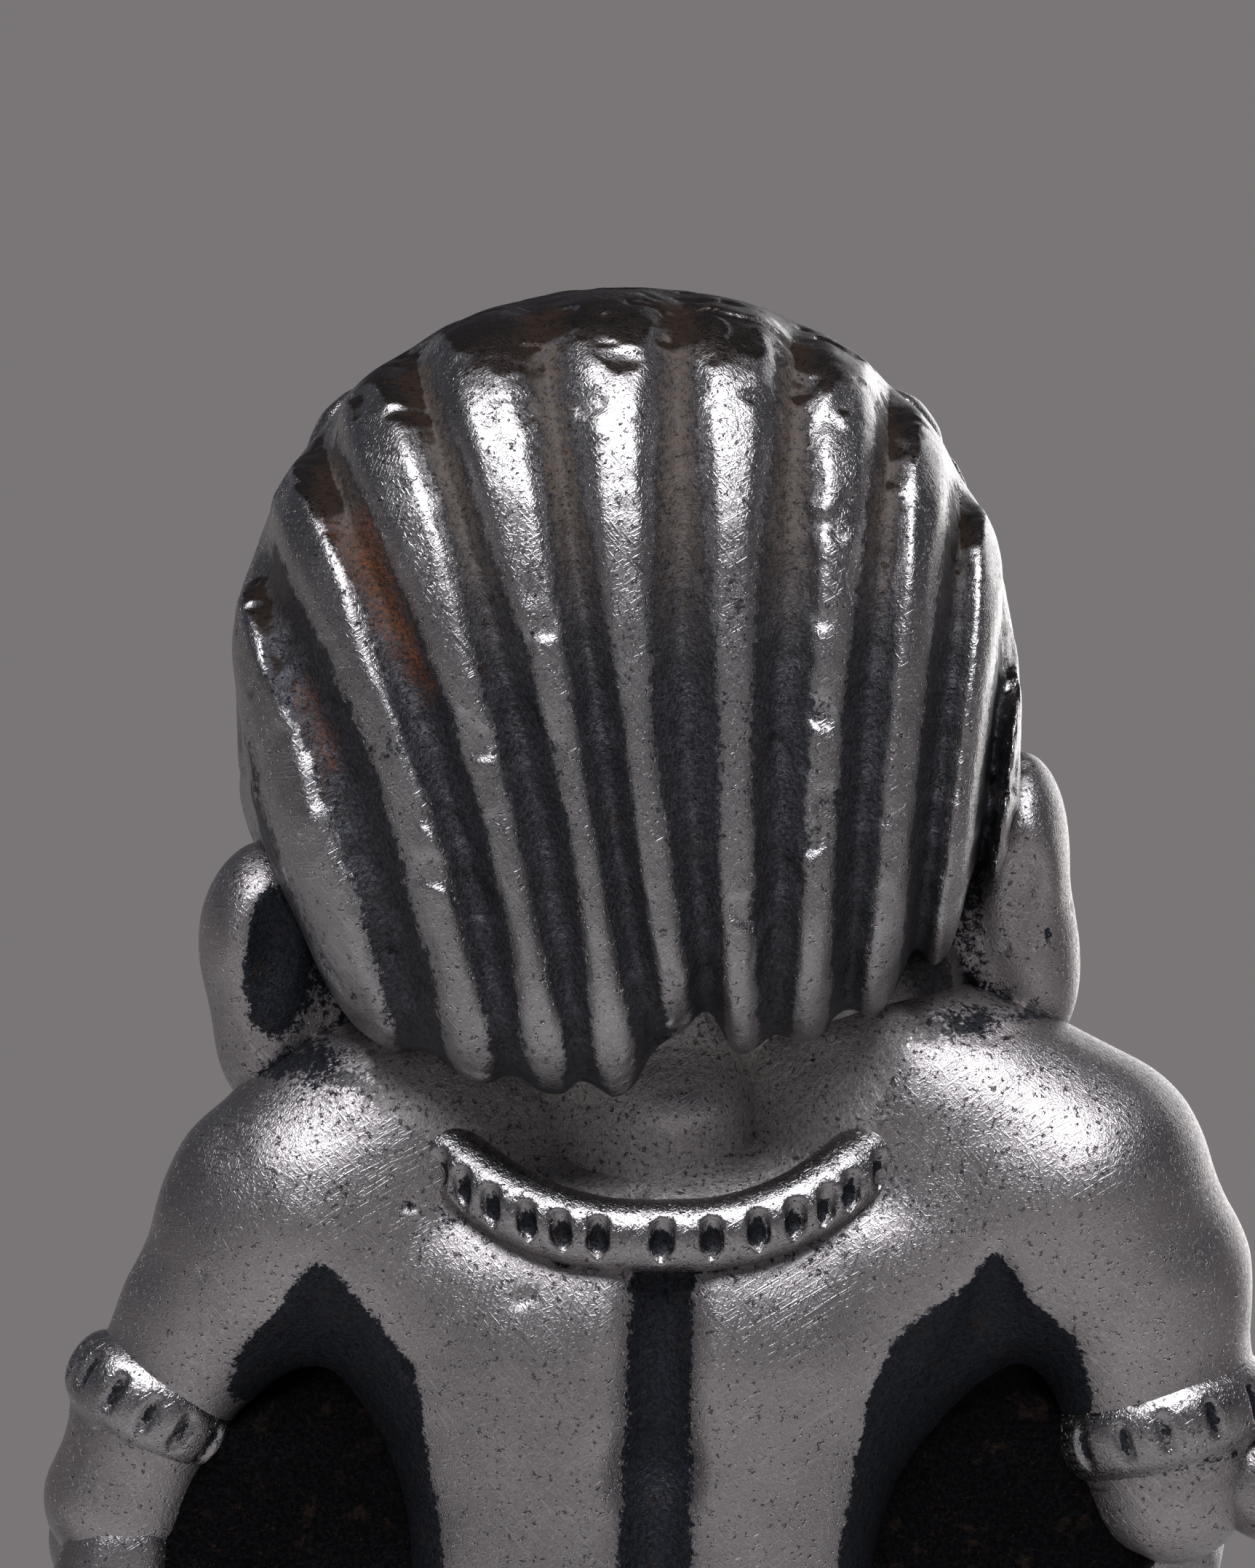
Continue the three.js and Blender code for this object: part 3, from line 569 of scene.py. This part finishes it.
def sculpt_hair():
    clay = Clay((HX - HW - 1.2, -9.2, NAPE - 1.8), (HX + HW + 1.2, BACK + 1.5, TOP + 1), 0.09)
    x, y, z = clay.x, clay.y, clay.z
    # The nape's edge is in two lobes, the lower one on the figure's left.
    lift = 0.7 * smoothstep(1.0, -0.6, x) + 0.9 * np.exp(-(((x + 0.75) / 0.6) ** 2)) - 0.6
    zz = z - lift * smoothstep(NAPE + 4, NAPE + 0.5, z)
    wide = HW * (1 - 0.2 * smoothstep(NAPE + 6, NAPE + 0.4, zz))
    u, v = np.abs(x - HX) / wide, np.abs(y + 0.5) / (BACK + 0.5)
    upper, lower = np.maximum(zz - HZ, 0) / HW, np.maximum(HZ - zz, 0) / (HZ - NAPE)
    field = u**2.15 + v**3.2 + upper**2.05 + lower**6 - 1
    slope = np.sqrt(sum(g * g for g in np.gradient(field, clay.step)))
    d = field / np.maximum(slope, 0.05)
    # Grooves between the locks.
    across = flutes(x, z) + 0.08 * clay.noise(1.6, 5)
    groove = smoothstep(0.15, 1.0, across - 0.12 * smoothstep(HZ, HZ + 4, z))
    depth = 0.22 + 0.38 * smoothstep(TOP - 0.3, TOP - 2.4, z) - 0.3 * smoothstep(NAPE + 3, NAPE + 0.5, z)
    crown = 0.12 * np.clip(across, 0, 0.6) ** 2
    behind = smoothstep(-2.5, 1.2, y)
    turn = np.arctan2(x - HX, -(y + 0.5))
    front = smoothstep(0.2, 0.85, np.abs(np.sin(turn * 9))) * smoothstep(-1.5, -4.0, y)
    d = d + behind * (depth * groove + crown) + 0.45 * front
    clay.d = np.clip(d, -BAND, BAND).astype(np.float32)
    # The face's opening.
    clay.carve(ball((HX, -6.6, HZ - 2.2), (6.6, 5.2, 8.2)), 0.8)
    # Dents and worn-out casting flaws on the locks.
    high = smoothstep(TOP - 3.4, TOP - 2.4, z)
    flawed = np.maximum(high, smoothstep(0.0, 0.4, clay.noise(2.2, 18)))
    clay.d += 0.09 * smoothstep(0.15, 0.5, clay.noise(0.42, 17)) * flawed
    clay.d += behind * (0.02 + 0.05 * groove) * clay.noise(0.3, 19)
    return clay.weather(11, 0.045)


def in_groove(x, y, z):
    """Below zero inside the grooves at the back of the hair, which leave more bare metal near the crown."""
    return 0.52 + 0.2 * smoothstep(HZ, HZ + 4, z) - flutes(x, z) + 2 * smoothstep(1.5, 0, y)


hair_stain = [
    ((in_groove, None, None), 0.6, 0.42),
    # Painted shade over the middle of the back of the hair, then painted shadow along its lower edge at the
    # nape.
    (ball((-0.4, BACK, HZ - 0.8), (5.0, 3.0, 4.6)), 0.26, 2.0),
    (ball((0.2, BACK, NAPE - 1.4), (8.0, 8.0, 1.5)), 0.6, 0.6),
    (ball((6.7, 3, HZ + 3.4), (0.9, 3, 1.0)), 0.35, 0.8),
    (ball((7.9, 2, HZ + 0.6), (0.7, 3, 1.3)), 0.4, 0.6),
    (ball((5.3, 4, HZ - 0.6), (0.8, 3, 1.2)), 0.35, 0.6),
]
hair_rust = [
    (rod((6.5, 4.4, HZ + 3.7), (4.9, 5.4, HZ + 0.4), 0.42, 0.2), 1.0, 1.1),
    (rod((7.5, 4, HZ + 0.2), (6.9, 4.4, HZ - 1.4), 0.3, 0.2), 0.8, 0.9),
]
skin(sculpt_hair(), "hair", "hair_iron", hair_iron, stain=hair_stain, rust=hair_rust)


def mirrored(points, radii):
    """A path on each side of the face, from (across, y, z) points."""
    return [bar for s in (-1, 1) for bar in path([(HX + s * across, y, z) for across, y, z in points], radii)]


def balls(across, y, z, radii):
    """A ball on each side of the face."""
    return [ball((HX + s * across, y, z), radii) for s in (-1, 1)]


def sculpt_head():
    low, high = box_mm("head")
    front = low[1]
    clay = Clay(low - (1.5, 1, 0.5), high + (1.5, 1.5, 0.5), 0.09)
    clay.add(ball((HX, -1.6, HZ + 0.1), (6.3, 5.9, 6.6)))
    clay.add(ball((HX, -3.0, HZ - 3.6), (4.9, 4.2, 3.9)), 1.5)
    clay.add(ball((HX, front + 2.2, HZ - 6.2), (1.7, 1.5, 1.2)), 1.4)
    clay.add(path([(0.2, -1.3, 50), (0.4, -1.6, 53.5), (0.5, -1.7, 57.5)], [4.0, 3.2, 4.2]), 1.2)
    face = front + 1.35
    clay.add(balls(2.7, face + 2.1, HZ - 3.0, (1.9, 1.5, 1.8)), 1.2)
    # Eye sockets, then the eyes, nearly closed, and their lids.
    clay.carve(balls(2.25, face + 0.1, HZ - 0.6, (1.7, 1.0, 0.95)), 0.9)
    clay.add(balls(2.3, face + 1.35, HZ - 0.75, (1.35, 1.0, 0.8)), 0.25)
    for s in (-1, 1):
        inner = (HX + s * 0.95, face + 0.75, HZ - 0.95)
        outer = (HX + s * 3.6, face + 1.2, HZ - 0.8)
        clay.add(path([inner, (HX + s * 2.2, face + 0.35, HZ - 0.35), outer], [0.14, 0.2, 0.13]), 0.2)
        clay.add(path([inner, (HX + s * 2.25, face + 0.45, HZ - 1.3), outer], [0.12, 0.14, 0.12]), 0.2)
    brow = [(0.5, face + 0.3, HZ + 0.6), (2.3, face + 0.35, HZ + 1.35), (4.1, face + 1.7, HZ + 0.6)]
    clay.add(mirrored(brow, [0.25, 0.28, 0.16]), 0.7)
    nose = [(HX, face + 0.3, HZ + 0.7), (HX, face - 0.25, HZ - 1.2), (HX, face - 0.7, HZ - 2.5)]
    clay.add(path(nose, [0.42, 0.45, 0.62]), 0.5)
    clay.add(balls(0.62, face - 0.05, HZ - 2.6, (0.45, 0.55, 0.42)), 0.3)
    upper_lip = [(0, face + 0.2, HZ - 4.0), (0.55, face + 0.15, HZ - 3.85), (1.5, face + 0.75, HZ - 4.1)]
    clay.add(mirrored(upper_lip, [0.3, 0.3, 0.15]), 0.25)
    clay.add(mirrored([(0, face + 0.25, HZ - 4.65), (1.15, face + 0.7, HZ - 4.4)], [0.4, 0.2]), 0.25)
    clay.add([ball((s * 4.2, -0.8, NAPE + 1.4), (2.6, 2.4, 2.6)) for s in (-1, 1)], 1.0)
    # The lowest neck bone shows as a rubbed boss.
    clay.add(ball((-0.35, 1.3, NAPE - 0.8), (1.3, 0.9, 0.85)), 0.9)
    return clay.weather(21, 0.035)


# Painted shadow on the neck under the overhanging hair, and less patina on the rubbed boss.
neck_stain = [
    (ball((0.4, 3.4, NAPE), (8.5, 5.0, 6)), 0.75, 0.8),
    (ball((0.4, 3.4, NAPE + 1.6), (8.5, 5.0, 1.4)), 0.3, 0.8),
    (ball((-0.35, 2.2, NAPE - 0.75), (0.55, 0.8, 0.4)), -0.75, 0.9),
]
# Painted light that lifts the patina in the hollow under the hair.
hollow = [(ball((0.2, 3.2, 54.6), (6.6, 3.6, 3.6)), 1.0, 0.8)]
skin(sculpt_head(), "head", "worn_iron", head_iron, stain=neck_stain, bloom=hollow)


def sculpt_ear(side):
    low, high = box_mm(f"{side}_ear")
    s = 1 if side == "left" else -1
    mid = (low + high) / 2
    clay = Clay(low - 2, high + 2, 0.08)
    if side == "left":
        clay.add(ball(mid + (0.3, 0.8, 0.4), (1.45, 1.9, 2.1)))
        clay.add(ball(mid + (0.2, 0.6, -1.7), (1.2, 1.6, 1.7)), 0.7)
        clay.add(ball(mid + (-1.1, 0.0, -1.0), (1.7, 1.7, 2.4)), 0.7)
    else:
        clay.add(ball(mid + (-0.55, 0.8, 0.9), (1.05, 1.9, 2.4)))
        clay.add(ball(mid + (-0.85, 0.6, -1.4), (1.0, 1.6, 1.8)), 0.7)
        clay.add(ball(mid + (0.5, 0.0, -0.4), (1.7, 1.7, 3.0)), 0.7)
    # The shell of the ear, facing forwards and outwards, and a dent behind it.
    clay.carve(ball(mid + ((0.1 if side == "left" else -0.5), 3.3, 0.2), (0.7, 1.1, 1.4)), 0.6)
    clay.carve(ball(mid + (1.1 * s, -1.2, 0.6), (0.8, 1.0, 1.5)), 0.4)
    clay.add(ball(mid + (0.5 * s, -0.9, 0.2), (0.3, 0.4, 0.9)), 0.3)
    return clay.weather(31 + s, 0.06)


# Painted shade in the gaps between each ear and the hair and neck and in the fold under the left ear, with a
# dark patch on the left ear.
ear_stain = {
    "left": [
        (ball((8.35, 1.6, HZ - 5.9), (0.75, 3.4, 1.7)), 1.0, 0.5),
        (rod((7.5, 1.4, HZ - 3.6), (7.0, 1.4, NAPE), 0.7), 1.0, 0.4),
        (ball((8.0, 1, NAPE - 0.2), (0.8, 2, 0.5)), 0.5, 0.4),
    ],
    "right": [
        (rod((-7.3, 1.4, HZ - 1.5), (-7.0, 1.4, NAPE), 0.3), 1.0, 0.4),
        (ball((-8.4, 1, HZ - 5.4), (0.14, 1.2, 0.3)), 0.8, 0.2),
    ],
}
for side in ("left", "right"):
    skin(sculpt_ear(side), f"{side}_ear", "worn_iron", body_iron, stain=ear_stain[side])

# ---- Torso, shoulders and upper arms -----------------------------------------------------------------

# Down the middle of each upper arm, and of the spine's groove.
LEFT_ARM = [(7.4, 0.2, 50.8), (8.7, 0.2, 49.9), (9.85, 0.1, 48.6), (10.95, 0.0, 46.8), (11.7, -0.1, 44.8)]
RIGHT_ARM = [(-8.8, 0.3, 51.3), (-10.2, 0.2, 49.6), (-10.9, 0.1, 46.6), (-11.1, 0.1, 45.2)]
SPINE = [(-0.05, 3.9, 50.2), (0.05, 3.75, 46), (0.2, 3.5, 36)]


def sculpt_torso():
    low, high = box_mm("torso")
    clay = Clay(low - (1.5, 1.2, 0.5), high + (1.5, 1.5, 1.2), 0.11)
    # The waist and the flat-backed rib cage.
    trunk = [(0.4, -0.9, 34.5), (0.5, -1.0, 40), (0.4, -0.8, 45.5), (0.3, -0.8, 48.5)]
    clay.add(path(trunk, [5.0, 4.6, 4.3, 4.2]))
    clay.add(ball((0.4, -2.2, 40.8), (4.9, 4.4, 5.0)), 1.5)
    clay.add(ball((0.1, -1.0, 48.0), (6.9, 4.3, 4.6)), 1.6)
    clay.add([rod((s * 2.5 + 0.3, 0.7, 47.9), (s * 2.0 + 0.3, 0.6, 38.0), 2.7, 2.5) for s in (-1, 1)], 1.2)
    clay.add([ball((s * 2.9, -4.2, 48.6), (2.6, 1.5, 1.9)) for s in (-1, 1)], 0.8)
    clay.add([ball((s * 2.9, -5.75, 48.2), (0.35, 0.3, 0.35)) for s in (-1, 1)], 0.2)
    # Shoulders and neck muscles, higher on the figure's right.
    clay.add(path([LEFT_ARM[0], (0.0, -0.5, 48.5), RIGHT_ARM[0]], [2.6, 3.3, 2.95]), 1.6)
    left_muscle = [(8.6, 0.0, 51.3), (6.3, -0.2, 52.5), (4.6, -0.3, 53.2), (2.0, -1.4, 54)]
    clay.add(path(left_muscle, [2.0, 2.2, 2.1, 2.0]), 1.6)
    right_muscle = [(-9.0, 0.1, 52.0), (-6.8, -0.1, 53.1), (-4.8, -0.2, 53.8), (-2.0, -1.4, 54.4)]
    clay.add(path(right_muscle, [2.3, 2.3, 2.1, 2.0]), 1.6)
    clay.add(path(LEFT_ARM, [2.6, 2.15, 1.7, 1.5, 1.65]), 0.8)
    clay.add(path(RIGHT_ARM, [2.95, 2.45, 2.0, 1.85]), 0.8)
    clay.carve([rod(p, q, 0.65, 0.8) for p, q in zip(SPINE[:-1], SPINE[1:])], 0.7)
    # The armpits are cut back to a point.
    for s, top in ((7.25, 50.3), (-7.2, 50.5)):
        clay.carve(rod((s, 3.3, top), (s, 3.5, 47.6), 0.2, 1.9), 0.3)
    clay.carve([ball((0.4, -6.9, 38.6), (0.45, 0.6, 0.45))], 0.5)
    # The hollow under the hair, inside the necklace.
    clay.carve(ball((0.2, 4.9, 54.9), (6.4, 3.8, 3.3)), 0.6)
    return clay.weather(41, 0.05)


# Darker along the spine's groove and along a thin line under the necklace.
torso_stain = [
    (rod(SPINE[0], SPINE[1], 0.6, 0.68), 1.3, 0.35),
    (rod(SPINE[1], SPINE[2], 0.68, 0.95), 1.3, 0.35),
    # Painted shade in the hollow under the hair.
    (ball((0.2, 3.6, 54.8), (5.6, 3.4, 3.1)), 0.75, 0.7),
    (rod((-5.6, 3.2, 52.4), (0.0, 3.6, 49.9), 0.3), 0.35, 0.5),
    (rod((0.0, 3.6, 49.9), (5.6, 3.2, 52.4), 0.3), 0.35, 0.5),
    # Painted shade in the armpits, beside the webs.
    (rod((7.25, 2.6, 50.4), (7.25, 2.4, 47.2), 0.25, 2.0), 1.0, 0.4),
    (rod((7.25, 2.4, 47.2), (6.9, 1.6, 42), 2.0, 2.6), 1.0, 0.4),
    (rod((-7.2, 2.6, 50.6), (-6.9, 2.4, 47.2), 0.25, 2.3), 1.0, 0.4),
    (rod((-6.9, 2.4, 47.2), (-6.2, 1.6, 42), 2.3, 2.8), 1.0, 0.4),
    # Painted shade in the folds between the shoulders, the ears and the hair.
    (ball((7.6, 1.2, 54.3), (1.0, 2.5, 0.5)), 0.45, 0.5),
    (ball((5.4, 3.0, 54.0), (1.3, 2.5, 0.7)), 0.5, 0.8),
    (ball((-5.6, 3.0, 55.2), (1.7, 2.5, 0.4)), 0.4, 0.6),
    (ball((-7.6, 1.2, 55.4), (1.4, 2.5, 0.3)), 0.3, 0.5),
]
skin(sculpt_torso(), "torso", "worn_iron", body_iron, stain=torso_stain, bloom=hollow)

# The webs between the arms and the body, coloured near black as painted shade.
for side in ("left", "right"):
    web = cast_of(f"{side}_web", 0.12, 1, 1.2)
    web.d -= 0.3
    web.weather(51, 0.1)
    skin(web, f"{side}_web", "dark_iron", web_shade_iron)


def sculpt_necklace():
    low, high = box_mm("necklace")
    mid, half = (low + high) / 2, (high - low) / 2
    wire = 0.8
    rx, ry = half[0] - wire, half[1] - wire
    clay = Clay(low - 1.2, high + 1.2, 0.07)

    def at(turn, out=0.0, up=0.0):
        droop = (high[2] - low[2] - 2 * wire) * math.sin(turn) ** 2
        c, q = math.cos(turn), math.sin(turn)
        return np.array([
            mid[0] + (rx + out) * math.copysign(abs(c) ** 0.8, c),
            mid[1] + (ry + out) * math.copysign(abs(q) ** 0.8, q),
            high[2] - wire - droop + up,
        ])

    turns = np.linspace(0, 2 * math.pi, 49)
    clay.add(path([at(t) for t in turns], [wire] * len(turns)), 0.02)
    # Oval punch marks across the band, struck by hand and so not quite even.
    rng = np.random.default_rng(7)
    marks = []
    punches = 46
    for i in range(punches):
        t = (i + 0.5) * 2 * math.pi / punches + rng.uniform(-0.016, 0.016)
        c = at(t, 0.72, 0.1)
        lean = np.array([0.3 * math.cos(t) + rng.uniform(-0.1, 0.1), 0.3 * math.sin(t), 1]) * 0.46
        tips = [c - lean, c - 0.45 * lean, c + 0.45 * lean, c + lean]
        clay.carve(path(tips, [0.09, 0.23, 0.23, 0.09]), 0.05)
        marks.append((rod(c - 0.7 * lean, c + 0.7 * lean, 0.12), 0.4, 0.14))
    return clay.weather(61, 0.03), marks


necklace, necklace_stain = sculpt_necklace()
skin(necklace, "necklace", "jewellery_iron", jewel_iron, stain=necklace_stain)


def sculpt_armlet(side):
    low, high = box_mm(f"{side}_armlet")
    mid = (low + high) / 2
    s = 1 if side == "left" else -1
    axis = np.array([0.62 if s > 0 else -0.28, 0, -1.0])
    axis /= np.linalg.norm(axis)
    radius = 1.75 if s > 0 else 2.25
    clay = Clay(low - 1.2, high + 1.2, 0.07)
    clay.add(ring(mid, axis, radius - 0.25, 0.5, 1.65))
    clay.add(rod(mid - axis * 0.5, mid + axis * 0.5, radius - 0.2, radius - 0.2), 0.2)
    across = np.cross(axis, (0, 1, 0))
    across /= np.linalg.norm(across)
    deep = np.cross(across, axis)
    rng = np.random.default_rng(8 + s)
    marks = []
    notches = 14
    for i in range(notches):
        t = 2 * math.pi * (i + 0.5) / notches + rng.uniform(-0.05, 0.05)
        out = across * math.cos(t) + deep * math.sin(t)
        c = mid + out * (radius + 0.28)
        clay.carve(rod(c - axis * 0.32, c + axis * 0.32, 0.19), 0.08)
        marks.append((rod(c - axis * 0.3, c + axis * 0.3, 0.16), 1.0, 0.08))
    return clay.weather(71 + s, 0.035), marks


for side in ("left", "right"):
    armlet, armlet_stain = sculpt_armlet(side)
    skin(armlet, f"{side}_armlet", "jewellery_iron", jewel_iron, stain=armlet_stain)

# ---- Pieces that follow their CAD shape closely ------------------------------------------------------


def follow(node, step, soften, seed, dents, slot, look, body="figure"):
    """Skins a node in its CAD shape, with its facets softened and its surface weathered."""
    skin(cast_of(node, step, soften).weather(seed, dents), node, slot, look, body)


for name in ("left_front", "left_rear", "right_front", "right_rear"):
    follow(f"{name}_forearm", 0.1, 2, 81, 0.05, "worn_iron", limb_iron)
    follow(f"{name}_hand", 0.07, 1, 82, 0.02, "worn_iron", limb_iron)
    follow(f"{name}_bracelet", 0.07, 1, 83, 0.02, "jewellery_iron", jewel_iron)
for name in ("left", "right"):
    follow(f"{name}_leg", 0.11, 3, 84, 0.06, "worn_iron", limb_iron)
    follow(f"{name}_foot", 0.07, 1, 85, 0.02, "worn_iron", limb_iron)
    follow(f"{name}_anklet", 0.07, 1, 86, 0.02, "jewellery_iron", jewel_iron)
for name in ("diadem", "girdle", "girdle_clasp", "girdle_tassel"):
    follow(name, 0.09, 1, 87, 0.03, "jewellery_iron", jewel_iron)
for name in ("loincloth", "drum", "flame"):
    follow(name, 0.09, 1, 87, 0.03, "worn_iron", body_iron)
follow("dwarf_body", 0.1, 2, 88, 0.04, "pedestal_iron", base_iron)


def sculpt_dwarf_head():
    """The dwarf's head: a plain round face turned to the front, under rows of curls."""
    low, high = box_mm("dwarf_head")
    top, r = high[2], (high[0] - low[0]) / 2
    clay = cast_of("dwarf_head", 0.07, 2)
    c = np.array([(low[0] + high[0]) / 2, -0.4, top - r])

    def at(across, depth, rise):
        return c + r * np.array((across, depth, rise))

    for s in (-1, 1):
        clay.carve(ball(at(s * 0.4, -0.98, 0.1), r * np.array((0.26, 0.2, 0.16))), 0.25)
        clay.add(ball(at(s * 0.4, -0.86, 0.09), r * np.array((0.2, 0.14, 0.11))), 0.08)
        clay.add(rod(at(s * 0.12, -0.98, 0.26), at(s * 0.62, -0.8, 0.26), 0.14), 0.2)
        clay.add(rod(at(0, -0.92, -0.5), at(s * 0.26, -0.88, -0.44), 0.14, 0.08), 0.1)
        clay.add(ball(at(s * 0.98, -0.1, -0.05), r * np.array((0.16, 0.2, 0.32))), 0.2)
    clay.add(rod(at(0, -1.0, 0.25), at(0, -1.1, -0.18), 0.2, 0.32), 0.2)
    for row, rise in enumerate((0.5, 0.72, 0.94, 1.16, 1.38)):
        count = max(3, round(15 * math.cos(rise)))
        for i in range(count):
            turn = 2 * math.pi * (i + 0.5 * (row % 2)) / count
            out = math.cos(rise)
            spot = np.array((out * math.cos(turn), out * math.sin(turn), math.sin(rise)))
            if spot[1] > -0.62:
                clay.add(ball(c + r * spot, (0.4, 0.4, 0.34)), 0.12)
    return clay.weather(90, 0.02)


skin(sculpt_dwarf_head(), "dwarf_head", "pedestal_iron", base_iron)
for name in ("platform", "upper_petals", "waist_bead_ring", "lower_petals", "plinth"):
    follow(name, 0.14, 1, 89, 0.05, "pedestal_iron", base_iron, "pedestal")

shelter()

dark_metal = plain_metal("dark_metal", (0.1, 0.095, 0.095), (0.03, 0.022, 0.018), 0.45)
brass = plain_metal("brass", (0.42, 0.29, 0.12), (0.12, 0.075, 0.035), 0.35)
for node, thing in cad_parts.items():
    if node.startswith("base_"):
        thing.data.materials.clear()
        thing.data.materials.append(brass)
    elif node in ("tang", "foot_dowel"):
        thing.data.materials.clear()
        thing.data.materials.append(dark_metal)

# ---- Studio ------------------------------------------------------------------------------------------

scene = bpy.context.scene
scene.view_settings.view_transform = "Standard"
world = bpy.data.worlds.new("studio")
world.use_nodes = True
tree = world.node_tree
sky = tree.nodes.new("ShaderNodeTexCoord")
split = tree.nodes.new("ShaderNodeSeparateXYZ")
ramp = tree.nodes.new("ShaderNodeValToRGB")
tree.links.new(sky.outputs["Generated"], split.inputs[0])
tree.links.new(split.outputs["Z"], ramp.inputs[0])
tree.links.new(ramp.outputs[0], tree.nodes["Background"].inputs["Color"])
# Mid-grey up to the horizon, a dim room above it, and a paler ceiling.
ramp.color_ramp.elements[0].position = 0.02
ramp.color_ramp.elements[0].color = (0.195, 0.182, 0.185, 1)
ramp.color_ramp.elements[1].position = 0.9
ramp.color_ramp.elements[1].color = (0.16, 0.155, 0.165, 1)
for place, level in ((0.2, 0.07), (0.6, 0.05)):
    stop = ramp.color_ramp.elements.new(place)
    stop.color = (level * 0.92, level * 0.98, level * 1.22, 1)
scene.world = world

floor_look = Look("floor")
floor_look.feed(
    floor_look.shader.inputs["Base Color"],
    floor_look.mix(floor_look.noise(9, 4.0), (0.42, 0.41, 0.41), (0.5, 0.49, 0.48)),
)
floor_look.shader.inputs["Roughness"].default_value = 0.7
bpy.ops.mesh.primitive_plane_add(size=0.44, location=(0, 0, -0.0002))
floor = bpy.context.object
floor.name = "floor"
floor.data.materials.append(floor_look.material)

AIM = Vector((0.00067, 0.003, 0.0606))  # the point that the lamps and the camera face
CAMERA_DISTANCE = 0.2
CAMERA_RISE = math.radians(5)


def lamp(name, place, size, power, colour=(1, 1, 1)):
    data = bpy.data.lights.new(name, "AREA")
    data.shape = "RECTANGLE"
    data.size, data.size_y = size
    data.energy = power
    data.color = colour
    thing = bpy.data.objects.new(name, data)
    thing.location = place
    thing.rotation_mode = "QUATERNION"
    thing.rotation_quaternion = (AIM - Vector(place)).to_track_quat("-Z", "Y")
    scene.collection.objects.link(thing)


lamp("softbox_above", (0.02, 0.17, 0.33), (0.26, 0.16), 1.3, (0.96, 0.98, 1.03))
lamp("fill_front", (-0.2, -0.4, 0.1), (0.3, 0.3), 0.6)

camera = bpy.data.objects.new("camera", bpy.data.cameras.new("camera"))
camera.data.sensor_width = 36
camera.data.lens = 216
camera.data.clip_start = 0.01
camera.location = AIM + CAMERA_DISTANCE * Vector((0, math.cos(CAMERA_RISE), math.sin(CAMERA_RISE)))
camera.rotation_mode = "QUATERNION"
camera.rotation_quaternion = (AIM - camera.location).to_track_quat("-Z", "Y")
scene.collection.objects.link(camera)
scene.camera = camera
